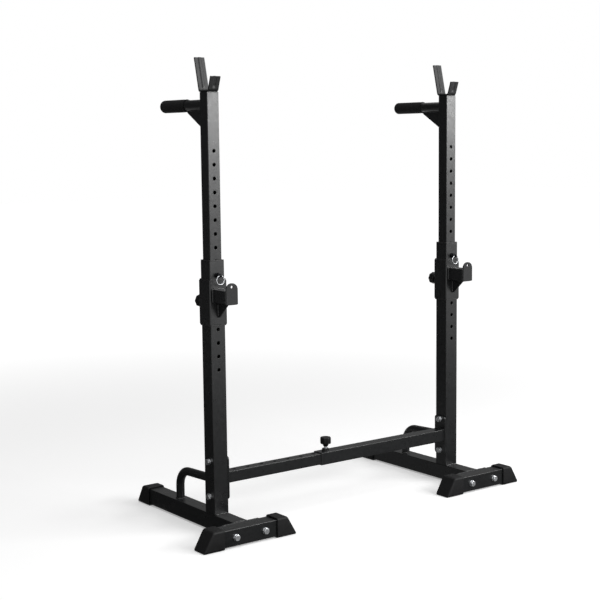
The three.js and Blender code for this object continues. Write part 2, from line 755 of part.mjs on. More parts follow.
// One whole stand, at its place along X
function stand(side, x) {
  const group = new THREE.Group();
  group.add(
    ...baseParts(side),
    ...uprightParts(side),
    ...braceParts(side),
    upperTubePart(side),
    cradlePart(side),
    ...dipParts(side),
    ...pinParts(side),
    ...sleeveParts(side),
    ...catchParts(side),
    ...knobParts(side),
  );
  group.position.set(x, standShift, 0);
  return group;
}

const squatStand = new THREE.Group();
for (const [side, sign] of [["left", -1], ["right", 1]]) {
  const x = (sign * uprightSpacing) / 2;
  squatStand.add(stand(side, x));
  squatStand.add(bracket(side, -sign, x));
  squatStand.add(...bracketBolts(side, -sign, x));
}
squatStand.add(...crossbarParts());

export default squatStand;
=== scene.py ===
# Squat stand: finished surfaces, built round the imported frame. Shapes are worked out in millimetres
# in the frame's own axes, and become metres when a mesh is made.
import math

import bmesh
import bpy
import numpy as np
from mathutils import Matrix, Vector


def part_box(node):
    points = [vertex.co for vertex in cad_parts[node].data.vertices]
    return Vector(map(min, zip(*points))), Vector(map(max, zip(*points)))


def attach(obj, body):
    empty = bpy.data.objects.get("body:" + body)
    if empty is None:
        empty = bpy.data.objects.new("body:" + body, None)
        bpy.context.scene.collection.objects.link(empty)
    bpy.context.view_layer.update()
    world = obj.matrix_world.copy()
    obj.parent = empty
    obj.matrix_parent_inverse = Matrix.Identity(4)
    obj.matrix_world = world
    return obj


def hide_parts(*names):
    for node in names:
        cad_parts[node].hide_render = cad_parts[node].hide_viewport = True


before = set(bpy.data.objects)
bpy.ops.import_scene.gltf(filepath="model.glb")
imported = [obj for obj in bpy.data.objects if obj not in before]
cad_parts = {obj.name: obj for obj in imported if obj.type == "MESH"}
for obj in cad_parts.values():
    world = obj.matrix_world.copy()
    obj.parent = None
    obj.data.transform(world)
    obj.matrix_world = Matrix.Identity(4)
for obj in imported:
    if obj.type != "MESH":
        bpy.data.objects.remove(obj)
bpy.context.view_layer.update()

mm = 0.001
sides = ("left", "right")
xAxis, yAxis, zAxis = np.eye(3)
axisGap = 0.2              # radius of the small flat that closes a turned shape at its axis


# Colour and node helpers

def linearColour(code):
    # sRGB hex to linear: c / 12.92 up to 0.04045, else ((c + 0.055) / 1.055) to the power 2.4.
    parts = np.array([int(code[i:i + 2], 16) for i in (1, 3, 5)]) / 255
    linear = np.where(parts <= 0.04045, parts / 12.92, ((parts + 0.055) / 1.055) ** 2.4)
    return (*[float(part) for part in linear], 1.0)


def addNode(tree, kind, inputs=None, **settings):
    # Adds a node; a socket given as an input is linked, anything else is set.
    node = tree.nodes.new("ShaderNode" + kind)
    for key, value in settings.items():
        setattr(node, key, value)
    for key, value in (inputs or {}).items():
        if isinstance(value, bpy.types.NodeSocket):
            tree.links.new(value, node.inputs[key])
        else:
            node.inputs[key].default_value = value
    return node


def newMaterial(name):
    # A material with an empty tree, and that tree.
    material = bpy.data.materials.new(name)
    material.use_nodes = True
    material.node_tree.nodes.clear()
    return material, material.node_tree


def noiseAt(tree, place, size, detail=2.0, roughness=0.5):
    # Noise whose blotches are about size millimetres across.
    return addNode(tree, "TexNoise", {"Vector": place, "Scale": 1 / (size * mm), "Detail": detail,
                                      "Roughness": roughness})


def mapRange(tree, value, low, high):
    # Stretches the middle of a noise over low to high.
    return addNode(tree, "MapRange", {"Value": value, "From Min": 0.3, "From Max": 0.7,
                                      "To Min": low, "To Max": high}).outputs["Result"]


# Surfaces: what the real one is, how it was made, and what that gives the eye

powderCoat = {"slot": "powder_coat", "dark": "#0d0e0f", "light": "#141516", "patch": 9.0, "grain": 2.0}
finishes = {
    # Satin black powder coat on steel tube, sprayed and baked: a soft sheen with faint orange peel, whose
    # cloudy patches are drawn 9 mm wide because the real 2 mm peel is too fine to show
    "powderCoatBlack": {**powderCoat, "roughness": (0.27, 0.33), "specular": 0.5, "relief": 0.05},
    # The same coat where it ran smooth and thick over the weld beads: a wetter sheen along each bead
    "powderCoatOnWeld": {**powderCoat, "patch": 5.0, "roughness": (0.16, 0.22), "specular": 0.6,
                         "relief": 0.05},
    # The same coat on laser-cut plate, which lies smoother than drawn tube: a darker, tighter sheen
    "powderCoatOnPlate": {**powderCoat, "roughness": (0.18, 0.22), "specular": 0.5, "relief": 0.04},
    # The same coat on the cradles' flat strip, rubbed by use: a wide even sheen that only the rib breaks
    "powderCoatOnStrip": {**powderCoat, "roughness": (0.37, 0.41), "specular": 0.4, "relief": 0.015},
    # EPDM rubber, compression moulded: matt, slightly lighter and dustier where it bulges
    "rubberMouldedBlack": {"slot": "cap_rubber", "dark": "#0d0d0e", "light": "#131314", "patch": 14.0,
                           "roughness": (0.52, 0.62), "specular": 0.25, "grain": 0.9, "relief": 0.05},
    # NBR foam sleeve, extruded and skinned: dull, with fine open pores
    "foamSleeveBlack": {"slot": "grip_foam", "dark": "#0b0b0c", "light": "#131314", "patch": 5.0,
                        "roughness": (0.74, 0.86), "specular": 0.2, "grain": 1.2, "relief": 0.2},
    # Nylon PA6, injection moulded: even, low sheen
    "nylonMouldedBlack": {"slot": "guide_plastic", "dark": "#141415", "light": "#1a1a1b", "patch": 11.0,
                          "roughness": (0.44, 0.52), "specular": 0.5, "grain": 0.7, "relief": 0.04},
    # ABS, injection moulded with a spark-eroded grip texture: deep black with soft highlights on the lobes
    "absKnobBlack": {"slot": "knob_plastic", "dark": "#0b0b0c", "light": "#111112", "patch": 7.0,
                     "roughness": (0.36, 0.46), "specular": 0.24, "grain": 0.8, "relief": 0.06},
}

metals = {
    # Bright zinc plate on turned steel: a clear grey mirror broken by fine turning marks
    "zincPlateBright": {"slot": "zinc_steel", "dark": "#c4c6c9", "light": "#e2e4e6", "patch": 3.0,
                        "roughness": (0.28, 0.42), "grain": 0.5, "relief": 0.06},
    # Black oxide on steel: a dark metal with an oily sheen
    "blackOxideSteel": {"slot": "black_steel", "dark": "#1c1d1f", "light": "#28292b", "patch": 4.0,
                        "roughness": (0.32, 0.42), "grain": 0.6, "relief": 0.05},
}


def makeFinish(name, look, metallic):
    # Two close shades in soft patches, a roughness that drifts with them, and a fine grain in the bump.
    material, tree = newMaterial(name)
    place = addNode(tree, "TexCoord").outputs["Object"]
    patches = noiseAt(tree, place, look["patch"], 3.0)
    shade = addNode(tree, "Mix", {"Factor": mapRange(tree, patches.outputs["Fac"], 0, 1),
                                  "A": linearColour(look["dark"]), "B": linearColour(look["light"])},
                    data_type="RGBA")
    drift = noiseAt(tree, place, look["patch"] * 1.7, 2.0)
    grain = noiseAt(tree, place, look["grain"], 2.0, 0.6)
    bump = addNode(tree, "Bump", {"Height": grain.outputs["Fac"], "Strength": look["relief"],
                                  "Distance": look["grain"] * mm})
    inputs = {"Base Color": shade.outputs["Result"], "Metallic": metallic, "Normal": bump.outputs["Normal"],
              "Roughness": mapRange(tree, drift.outputs["Fac"], *look["roughness"])}
    if "specular" in look:
        inputs["Specular IOR Level"] = look["specular"]
    shader = addNode(tree, "BsdfPrincipled", inputs)
    addNode(tree, "OutputMaterial", {"Surface": shader.outputs["BSDF"]})
    return material


materials = {name: makeFinish(name, look, 0.0) for name, look in finishes.items()}
materials.update({name: makeFinish(name, look, 1.0) for name, look in metals.items()})
print("materials made:", len(materials))


# Shape helpers

def nodeBox(node):
    # Lowest and highest corner of a frame node, in millimetres.
    low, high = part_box(node)
    return np.array(low) / mm, np.array(high) / mm


def middle(node):
    # Middle of a frame node's box.
    low, high = nodeBox(node)
    return (low + high) / 2


def lowEnd(node, axis):
    # Middle of a frame node's low end along an axis, and the node's length from there.
    low, high = nodeBox(node)
    point = (low + high) / 2
    point[axis] = low[axis]
    return point, high[axis] - low[axis]


def unitCircle(count):
    # Points (cos a, sin a), with a going once round in equal steps.
    angle = np.arange(count) * 2 * math.pi / count
    return np.stack([np.cos(angle), np.sin(angle)], -1)


def roundedOutline(width, height, radius, steps=6):
    # Rounded rectangle: corner centre + radius (cos a, sin a), a running a quarter turn at each corner.
    centres = np.array([[1, 1], [-1, 1], [-1, -1], [1, -1]]) * [width / 2 - radius, height / 2 - radius]
    angle = np.arange(4)[:, None] * math.pi / 2 + np.linspace(0, math.pi / 2, steps + 1)
    return (centres[:, None] + radius * np.stack([np.cos(angle), np.sin(angle)], -1)).reshape(-1, 2)


def roundCorners(points, reach, step):
    # Polyline whose inner corners are cubic arcs (1 - t)^3 a + 3 t (1 - t)^2 p + 3 t^2 (1 - t) q + t^3 b.
    # They start reach before the corner, and handles of 4/3 tan(turn / 4) radii make them follow a circle.
    points = np.asarray(points, float)
    pieces = [points[:1]]
    t = np.linspace(0, 1, 17)[:, None]
    for before, corner, after in zip(points, points[1:], points[2:]):
        first = (before - corner) / np.linalg.norm(before - corner)
        last = (after - corner) / np.linalg.norm(after - corner)
        turn = math.pi - math.acos(float(first @ last))
        handle = reach * (1 - 4 / 3 * math.tan(turn / 4) / math.tan(turn / 2))
        start, startHandle = corner + reach * first, corner + handle * first
        end, endHandle = corner + reach * last, corner + handle * last
        pieces.append((1 - t) ** 3 * start + 3 * t * (1 - t) ** 2 * startHandle
                      + 3 * t ** 2 * (1 - t) * endHandle + t ** 3 * end)
    pieces.append(points[-1:])
    return resample(np.concatenate(pieces), step)


def resample(path, step, closed=False):
    # Points about step apart along a polyline, by linear interpolation over its length.
    if closed:
        path = np.concatenate([path, path[:1]])
    along = np.concatenate([[0], np.cumsum(np.linalg.norm(np.diff(path, axis=0), axis=1))])
    count = max(2, round(along[-1] / step))
    at = np.linspace(0, along[-1], count + 1)
    if closed:
        at = at[:-1]
    return np.stack([np.interp(at, along, path[:, axis]) for axis in range(path.shape[1])], -1)


def gridFaces(rows, columns, ring=False, closed=True):
    # Quads of a grid of rows x columns points, closed round its columns and, for a ring, its rows.
    i, j = np.meshgrid(np.arange(rows if ring else rows - 1),
                       np.arange(columns if closed else columns - 1), indexing="ij")
    below, beside = (i + 1) % rows, (j + 1) % columns
    quads = [i * columns + j, i * columns + beside, below * columns + beside, below * columns + j]
    return np.stack(quads, -1).reshape(-1, 4)


def loft(sections, ring=False, capped=True):
    # Skin over closed sections (rows x columns x 3), with a flat face on each end unless it is a ring.
    rows, columns = sections.shape[:2]
    faces = gridFaces(rows, columns, ring).tolist()
    if capped and not ring:
        faces.append(list(range(columns)))
        faces.append(list(range((rows - 1) * columns, rows * columns)))
    return sections.reshape(-1, 3), faces


def spun(reach, along, count):
    # Sections (reach cos a, reach sin a, along): rows of reach, which may change with the angle a.
    reach = np.broadcast_to(reach, (len(reach), count))[..., None]
    along = np.broadcast_to(along, reach.shape[:2])[..., None]
    return np.concatenate([reach * unitCircle(count), along], -1)


def lathe(profile, sidesRound=48, ring=False):
    # Profile of (radius, along) points turned about Z.
    profile = np.asarray(profile, float)
    return loft(spun(profile[:, :1], profile[:, 1:], sidesRound), ring)


def turnedBar(radius, start, end, foot=0.0, top=0.0, bore=axisGap, sidesRound=40):
    # Bar along Z from start to end, or ring where it has a bore, its rims cut back by foot and top.
    profile = [[bore, start], [radius - foot, start], [radius, start + foot], [radius, end - top],
               [radius - top, end], [bore, end]]
    profile = [point for at, point in enumerate(profile) if at == 0 or point != profile[at - 1]]
    return lathe(profile, sidesRound, bore > axisGap)


def shankProfile(radius, lead, length, head, edge=0.6):
    # Start of a turned pin: a tip cut back by lead, then a shank that steps out to a rounded head.
    return [[axisGap, 0], [radius - lead, 0], [radius, lead], [radius, length], [head - edge, length],
            [head, length + edge]]


def collar(radius, length, steps, bore, mouth, lead, sidesRound):
    # Ring whose outer edge goes back by steps (in from the radius, down from the end), and whose bore
    # opens to the mouth over the last lead.
    edge = [[radius - inward, length - down] for inward, down in steps]
    return lathe([[bore, 0], [radius, 0], *edge, [mouth, length], [bore, length - lead]], sidesRound, True)


def sweep(path, radius, normal, sidesRound=24, ring=False):
    # Circle carried along a flat path: path + radius (cos a n + sin a b), with b = tangent x n.
    path = np.asarray(path, float)
    if ring:
        tangent = np.roll(path, -1, 0) - np.roll(path, 1, 0)
    else:
        tangent = np.gradient(path, axis=0)
    tangent /= np.linalg.norm(tangent, axis=1, keepdims=True)
    normal = np.asarray(normal, float)
    side = np.cross(tangent, normal)
    radius = np.broadcast_to(radius, len(path))[:, None, None]
    circle = unitCircle(sidesRound)
    return loft(path[:, None] + radius * (circle[:, :1] * normal + circle[:, 1:] * side[:, None]), ring)


def extrude(outline, thickness):
    # Flat outline at z = 0 and again at z = thickness, joined by its edge.
    return loft(np.stack([np.insert(outline, 2, z, axis=1) for z in (0, thickness)]))


def place(shape, origin, along=zAxis, across=xAxis):
    # Turns a shape's Z to along and its X to across, then moves its origin.
    points, faces = shape
    turn = np.array([across, np.cross(along, across), along], float)
    return points @ turn + np.asarray(origin, float), faces


def join(shapes):
    # Several shapes as one.
    points, faces, count = [], [], 0
    for shapePoints, shapeFaces in shapes:
        points.append(shapePoints)
        faces += [[index + count for index in face] for face in shapeFaces]
        count += len(shapePoints)
    return np.concatenate(points), faces


def addObject(name, data):
    # Links an object with this data to the scene.
    thing = bpy.data.objects.new(name, data)
    bpy.context.scene.collection.objects.link(thing)
    return thing


def makePiece(name, shape, body, finish, nodes=(), bevel=0, bevelAngle=40, sharp=40):
    # Mesh in metres, doubles merged and normals outward, then rounded edges if asked.
    points, faces = shape
    mesh = bpy.data.meshes.new(name)
    mesh.from_pydata((points * mm).tolist(), [], faces)
    work = bmesh.new()
    work.from_mesh(mesh)
    bmesh.ops.remove_doubles(work, verts=work.verts, dist=0.002 * mm)
    bmesh.ops.recalc_face_normals(work, faces=work.faces)
    work.to_mesh(mesh)
    work.free()
    mesh.shade_smooth()
    piece = addObject(name, mesh)
    mesh.materials.append(materials[finish])
    if bevel:
        edges = piece.modifiers.new("edges", "BEVEL")
        edges.width = bevel * mm
        edges.segments = 3
        edges.limit_method = "ANGLE"
        edges.angle_limit = math.radians(bevelAngle)
        piece.modifiers.new("even", "WEIGHTED_NORMAL").keep_sharp = True
    else:
        mesh.set_sharp_from_angle(angle=math.radians(sharp))
    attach(piece, body)
    if nodes:
        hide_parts(*nodes)
    return piece


def standPiece(side, name, body, finish, node, shape, **edges):
    # Piece of one stand: its name, body and frame node all start with the side.
    return makePiece(f"{side}_{name}", shape, f"{side}_{body}", finish, [f"{side}_{node}"] if node else (),
                     **edges)


# Square tubes, with holes in any of their faces

tubeLook = {
    "corner": 2.0,  # outside corner radius
    "edge": 0.5,  # rounding of cut ends and drilled rims
    "cornerSteps": 6,
    "holeSteps": 8,  # points along each side of the square round a hole
    "holeMargin": 2.3,  # half of that square, as a share of the hole's radius
    "rings": 3,  # rings between a hole and that square
}
quarterTurns = [np.linalg.matrix_power([[0, 1], [-1, 0]], face) for face in range(4)]  # (x, y) to (-y, x)


def tubeSkin(size, length, holes, corner, half):
    # Skin of a square tube along +Z. holes holds lists of (height, radius) under the face's number: 0 is
    # local -Y, 1 +X, 2 +Y, 3 -X. Round each hole, rings of points run from the circle to a square:
    # (1 - t) circle + t square.
    steps = tubeLook["holeSteps"]
    flat = size / 2 - corner
    unit = np.linspace(-1, 1, steps + 1)
    angle = np.linspace(-math.pi / 2, 0, tubeLook["cornerSteps"] + 1)[1:-1]
    arc = np.array([flat, -flat]) + corner * np.stack([np.cos(angle), np.sin(angle)], -1)
    outline, starts = np.zeros((0, 2)), []
    for face in range(4):
        columns = [-flat, *(half * unit), flat] if face in holes else [-flat, flat]
        side = np.stack([columns, np.full(len(columns), -size / 2)], -1)
        starts.append(len(outline))
        outline = np.concatenate([outline, np.concatenate([side, arc]) @ quarterTurns[face]])
    drilled = [(face, z, radius) for face, rows in holes.items() for z, radius in rows]
    heights = np.concatenate([[0, length], *[z + half * unit for _, z, _ in drilled]])
    heights = np.unique(np.round(heights, 4))
    sections = np.zeros((len(heights), len(outline), 3))
    sections[..., :2] = outline
    sections[..., 2] = heights[:, None]
    points = [sections.reshape(-1, 3)]
    faces = gridFaces(len(heights), len(outline))
    row, column = faces[:, 0] // len(outline), faces[:, 0] % len(outline)
    keep = np.ones(len(faces), bool)
    for face, z, _ in drilled:
        first = int(np.argmin(abs(heights - (z - half))))
        left = starts[face]
        keep &= ~((row >= first) & (row < first + steps) & (column > left) & (column <= left + steps))
    patches = [faces[keep]]
    count = len(points[0])
    rims = [np.arange(len(outline)), np.arange(count - len(outline), count)]
    t = np.linspace(0, 1, tubeLook["rings"] + 1)[:, None, None]
    for face, z, radius in drilled:
        side = np.stack([half * unit[:-1], np.full(steps, -half)], -1)
        square = np.concatenate([side, side[:, ::-1] * [-1, 1], -side, side[:, ::-1] * [1, -1]])
        circle = radius * square / np.linalg.norm(square, axis=1, keepdims=True)
        rings = (1 - t) * circle + t * square
        level = np.stack([rings[..., 0], np.full(rings.shape[:2], -size / 2)], -1)
        patch = np.concatenate([level @ quarterTurns[face], rings[..., 1:] + z], -1)
        points.append(patch.reshape(-1, 3))
        patches.append(gridFaces(*rings.shape[:2]) + count)
        rims.append(count + np.arange(rings.shape[1]))
        count += len(points[-1])
    return np.concatenate(points), np.concatenate(patches), rims


def tubeShape(size, wall, length, holes, corner=None):
    # Outer skin and bore, two meshes of the same pattern, joined along every rim.
    corner = corner or tubeLook["corner"]
    radii = [radius for rows in holes.values() for _, radius in rows]
    half = min(0.8 * (size / 2 - corner), tubeLook["holeMargin"] * max(radii, default=1))
    outer, faces, rims = tubeSkin(size, length, holes, corner, half)
    inner = tubeSkin(size - 2 * wall, length, holes, corner / 2, half)[0]
    walls = [np.stack([rim, np.roll(rim, -1), np.roll(rim, -1) + len(outer), rim + len(outer)], 1)
             for rim in rims]
    return np.concatenate([outer, inner]), np.concatenate([faces, faces + len(outer), *walls]).tolist()


def boxTube(name, node, body, size, wall, holes=None, along=zAxis, across=xAxis, corner=None):
    # Square tube that fills its frame node: its length is the node's, along the given axis.
    low, high = nodeBox(node)
    length = float(np.dot(high - low, abs(along)))
    start = (low + high) / 2 - along * length / 2
    shape = tubeShape(size, wall, length, holes or {}, corner)
    makePiece(name, place(shape, start, along, across), body, "powderCoatBlack", [node],
              bevel=tubeLook["edge"], bevelAngle=50)


def holeRow(node, axis, start, look, steps):
    # Holes along a frame node, so many pitches from start: heights above the node's low end, and radii.
    low = nodeBox(node)[0][axis]
    return [(start + step * look["holePitch"] - low, look["holeRadius"]) for step in steps]


# Uprights and crossbar

uprightLook = {
    "frameSize": 50.0,  # lower upright, base and foot
    "upperSize": 40.0,
    "frameWall": 2.5,
    "upperWall": 2.0,
    "holeRadius": 5.5,
    "holePitch": 40.0,
    "upperAbove": 9,  # holes above the pull pin
    "upperBelow": 4,
    "lowerBelow": 7,
}
crossbarLook = {
    "holePitch": 50.0,
    "holesShown": 8,
    "holeRadius": 5.5,
    "innerSize": 35.0,
    "outerSize": 40.0,
    "corner": 2.0,
    "wall": 2.0,
    "bush": 2.6,  # lip of the plastic bush at the outer tube's mouth
    "bushGap": 0.1,
    "bushPlay": 0.6,  # room for the inner tube in it
}

look = uprightLook
for side in sides:
    pinHeight = middle(f"{side}_pin_housing")[2]
    upperHoles = holeRow(f"{side}_upper_upright", 2, pinHeight, look,
                         range(-look["upperBelow"], look["upperAbove"] + 1))
    lowerHoles = holeRow(f"{side}_lower_upright", 2, pinHeight, look, range(0, -look["lowerBelow"] - 1, -1))
    boxTube(f"{side}_upper_tube", f"{side}_upper_upright", f"{side}_upper", look["upperSize"],
            look["upperWall"], {0: upperHoles})
    for name, node, holes, along, across in (("lower_tube", "lower_upright", {0: lowerHoles}, zAxis, xAxis),
                                             ("base_rail", "base_tube", {}, yAxis, xAxis),
                                             ("foot_rail", "foot_tube", {}, xAxis, yAxis)):
        boxTube(f"{side}_{name}", f"{side}_{node}", f"{side}_stand", look["frameSize"], look["frameWall"],
                holes, along, across)

look = crossbarLook
lockX = middle("crossbar_lock_boss")[0]
innerHoles = holeRow("crossbar_inner_tube", 0, lockX, look, range(1, -look["holesShown"], -1))
boxTube("crossbar_inner", "crossbar_inner_tube", "left_stand", look["innerSize"], look["wall"],
        {0: innerHoles}, xAxis, -yAxis, look["corner"])
boxTube("crossbar_outer", "crossbar_outer_tube", "right_stand", look["outerSize"], look["wall"], {},
        xAxis, -yAxis, look["corner"])
outerLow, outerMiddle = nodeBox("crossbar_outer_tube")[0], middle("crossbar_outer_tube")
print("tubes made")


def ringBetween(loops):
    # Closed skin through flat outlines, each with its height.
    return loft(np.stack([np.insert(outline, 2, z, axis=1) for outline, z in loops]), ring=True)


def lipRing(outer, inner, height, corner):
    # Square ring with a rounded outline: outer and inner outlines at both heights.
    rim = roundedOutline(outer, outer, corner)
    bore = roundedOutline(inner, inner, max(corner - (outer - inner) / 2, 0.8))
    return ringBetween(((rim, 0), (rim, height), (bore, height), (bore, 0)))


bush = lipRing(look["outerSize"], look["innerSize"] + look["bushPlay"], look["bush"], look["corner"])
bushAt = [outerLow[0] - look["bush"] - look["bushGap"], outerMiddle[1], outerMiddle[2]]
makePiece("crossbar_bush", place(bush, bushAt, xAxis, yAxis), "right_stand", "nylonMouldedBlack", bevel=0.5)


# Slanted rubber caps

capLook = {
    "size": 60.0,
    "corner": 7.0,
    "top": 37.0,  # length along the top
    "bottom": 72.0,  # length along the floor
    "edge": 5.0,  # rounding between the sides and the slanted face
    "mouth": 1.6,  # rounding at the mouth
    "bore": 50.6,
    "boreCorner": 3.0,
    "pocket": 12.0,
    "faceInset": 4.0,  # inner loop of the slanted face
}


def slantedCap():
    # Rounded square carried along +Z from the mouth; near the end each loop shrinks by edge (1 - cos a)
    # and moves out by edge sin a, and its far side leans with the slope.
    look = capLook
    size, edge, mouth = look["size"], look["edge"], look["mouth"]
    slope = (look["bottom"] - look["top"]) / size
    sections = []

    def add(inset, along, lean, width=size, corner=look["corner"]):
        loop = roundedOutline(width - 2 * inset, width - 2 * inset, max(corner - inset, 1.0), 8)
        depth = along + lean * (look["top"] + slope * (size / 2 - loop[:, 1]))
        sections.append(np.stack([loop[:, 0], loop[:, 1], depth], -1))

    add(0, look["pocket"], 0, look["bore"], look["boreCorner"])
    add(0, mouth, 0, look["bore"], look["boreCorner"])
    for angle in np.linspace(0, math.pi / 2, 5):
        add(mouth * (1 - math.sin(angle)), mouth * (1 - math.cos(angle)), 0)
    for share in (0.33, 0.66):
        add(0, -edge * share, share)
    for angle in np.linspace(0, math.pi / 2, 8):
        add(edge * (1 - math.cos(angle)), -edge + edge * math.sin(angle), 1)
    add(edge + look["faceInset"], 0, 1)
    return loft(np.stack(sections))


for side in sides:
    for name, node, along, across in (("rear_boot", "rear_cap", yAxis, -xAxis),
                                      ("foot_boot_left", "foot_cap_left", -xAxis, -yAxis),
                                      ("foot_boot_right", "foot_cap_right", xAxis, yAxis)):
        low, high = nodeBox(f"{side}_{node}")
        mouthCorner = np.where(along < 0, high, low)
        mouthAt = np.where(along == 0, (low + high) / 2, mouthCorner)
        mouthAt[2] = capLook["size"] / 2
        standPiece(side, name, "stand", "rubberMouldedBlack", node,
                   place(slantedCap(), mouthAt, along, across), sharp=60)
print("caps made")


# Flat plates

plateLook = {
    "flangeCorner": 6.0,
    "bracketCorner": 9.0,
    "edge": 0.8,
    "gussetNose": 5.0,
    "catchRound": 19.0,
    "catchHole": 4.0,
    "catchHoleDrop": 11.0,
}


def drilledPlate(outline, centre, radius, thickness):
    # Plate with one hole: the circle has a point on the ray to each point of the outline.
    ray = outline - centre
    circle = centre + radius * ray / np.linalg.norm(ray, axis=1, keepdims=True)
    return ringBetween(((circle, 0), (outline, 0), (outline, thickness), (circle, thickness)))


def gusset(side, name, node, body, sign):
    # Three-sided plate that fills its frame node, upright edge in front (sign 1) or behind (sign -1).
    low, high = nodeBox(f"{side}_{node}")
    thickness, length, height = high - low
    nose = plateLook["gussetNose"]
    outline = np.array([[0, 0], [length, 0], [length, -nose], [nose, -height], [0, -height]], float)
    corner = [*(low if sign > 0 else high)[:2], high[2]]
    shape = place(extrude(outline, thickness), corner, sign * xAxis, sign * yAxis)
    standPiece(side, name, body, "powderCoatBlack", node, shape, bevel=plateLook["edge"])


def plateFromBox(side, name, node, corner, along, across):
    # Rounded plate that fills its frame node, flat across the along axis.
    low, high = nodeBox(f"{side}_{node}")
    axes = (across, np.cross(along, across), along)
    width, height, thickness = [float(abs((high - low) @ axis)) for axis in axes]
    shape = place(extrude(roundedOutline(width, height, corner), thickness),
                  (low + high) / 2 - along * thickness / 2, along, across)
    standPiece(side, name, "stand", "powderCoatBlack", node, shape, bevel=plateLook["edge"])


for side in sides:
    plateFromBox(side, "foot_flange", "base_flange", plateLook["flangeCorner"], yAxis, xAxis)
    plateFromBox(side, "crossbar_plate", "bracket_plate", plateLook["bracketCorner"], xAxis, yAxis)
    gusset(side, "dip_rib", "dip_gusset", "upper", 1)
    gusset(side, "catch_rib", "catch_gusset", "slider", -1)

    low, high = nodeBox(f"{side}_catch_plate")
    half, height, rounding = (high[0] - low[0]) / 2, high[2] - low[2], plateLook["catchRound"]
    turn = np.linspace(0, math.pi / 2, 13)
    arc = rounding * np.stack([np.cos(turn), np.sin(turn)], -1) + [half - rounding, height - rounding]
    lower = [[-half, 0], [0, 0], [half, 0], [half, height / 2]]
    outline = np.concatenate([lower, arc, arc[::-1] * [-1, 1], [[-half, height / 2]]])
    plate = drilledPlate(outline, np.array([0, height - plateLook["catchHoleDrop"]]), plateLook["catchHole"],
                         high[1] - low[1])
    standPiece(side, "catch_stop", "slider", "powderCoatOnPlate", "catch_plate",
               place(plate, [low[0] + half, high[1], low[2]], -yAxis, xAxis), bevel=plateLook["edge"])
print("plates made")


# Brace, dip bar and foam grip

roundLook = {
    "braceRadius": 13.0,
    "braceReach": 207.0,
    "braceTop": 154.0,
    "braceBend": 146.0,
    "braceCorner": 50.0,  # from the corner to where the bend starts
    "dipRadius": 16.0,
    "gripRadius": 19.0,
    "gripCollar": 19.0,  # radius of the bead at the grip's mouth
    "gripWaist": 18.1,  # radius of the groove behind it
    "gripEndRound": 8.0,
    "gripBead": (0.6, 7.6),  # where the bead starts and ends
    "gripBody": 9.0,  # where the body starts
    "gripPlay": 0.3,  # room for the bar in the bore
    "braceStep": 4.0,
    "dipEdge": 0.5,
}


def gripProfile(length):
    # Foam sleeve: bore, mouth bead, a shallow groove, a faintly crowned body and a domed end.
    look = roundLook
    radius, waist, rounding = look["gripRadius"], look["gripWaist"], look["gripEndRound"]
    first, last = look["gripBead"]
    bore, start = look["dipRadius"] + look["gripPlay"], look["gripBody"]
    t = np.linspace(0, 1, 9)
    rise = np.sin(math.pi * t) ** 0.7
    bead = np.stack([waist + (look["gripCollar"] - waist) * rise, first + (last - first) * t], -1)
    body = np.stack([waist + (radius - waist) * np.minimum(1, 6 * t),
                     start + (length - rounding - start) * t ** 1.5], -1)
    turn = np.linspace(0, math.pi / 2, 10)[1:]
    dome = np.stack([radius - rounding * (1 - np.cos(turn)), length - rounding * (1 - np.sin(turn))], -1)
    mouth = [[axisGap, 12], [bore, 12], [bore, 0.6], [bore + 0.6, 0], [waist - 0.6, 0]]
    return np.concatenate([mouth, bead, body, dome, [[6, length - 0.2], [axisGap, length - 0.4]]])


look = roundLook
for side in sides:
    x, y, _ = middle(f"{side}_lower_upright")
    rear = y + look["braceReach"]
    path = [[x, y + uprightLook["frameSize"] / 2, look["braceTop"]], [x, rear, look["braceBend"]],
            [x, rear, nodeBox(f"{side}_base_tube")[1][2]]]
    brace = sweep(roundCorners(path, look["braceCorner"], look["braceStep"]), look["braceRadius"], xAxis, 40)
    standPiece(side, "brace", "stand", "powderCoatBlack", "brace_tube", brace)

    start, length = lowEnd(f"{side}_dip_bar", 1)
    bar = turnedBar(look["dipRadius"], 0, length, top=look["dipEdge"], sidesRound=56)
    standPiece(side, "dip_tube", "upper", "powderCoatBlack", "dip_bar", place(bar, start, yAxis))
    start, length = lowEnd(f"{side}_dip_grip", 1)
    grip = standPiece(side, "foam_grip", "upper", "foamSleeveBlack", "dip_grip",
                      place(lathe(gripProfile(length), 56), start, yAxis), sharp=60)
print("round tubes and grips made")


# Cradle: a flat strip bent to a short front leg and a long back leg, with a flat rib pressed in each leg

cradleLook = {
    "thickness": 5.0,
    "width": 34.0,
    "floor": 44.0,
    "offset": 3.0,  # middle of the floor behind the upright's axis
    "backLength": 98.0,
    "backLean": 13.0,
    "frontLength": 40.5,
    "frontLean": 19.0,
    "bend": 6.0,  # from the corner to where the bend starts
    "ribHeight": 1.8,
    "ribWidth": 4.6,  # half width
    "ribFlank": 0.9,  # width over which each flank rises
    "ribFade": 10.0,  # height over which the rib grows out of the floor's bend
    "edge": 0.8,
    "columns": 41,
}


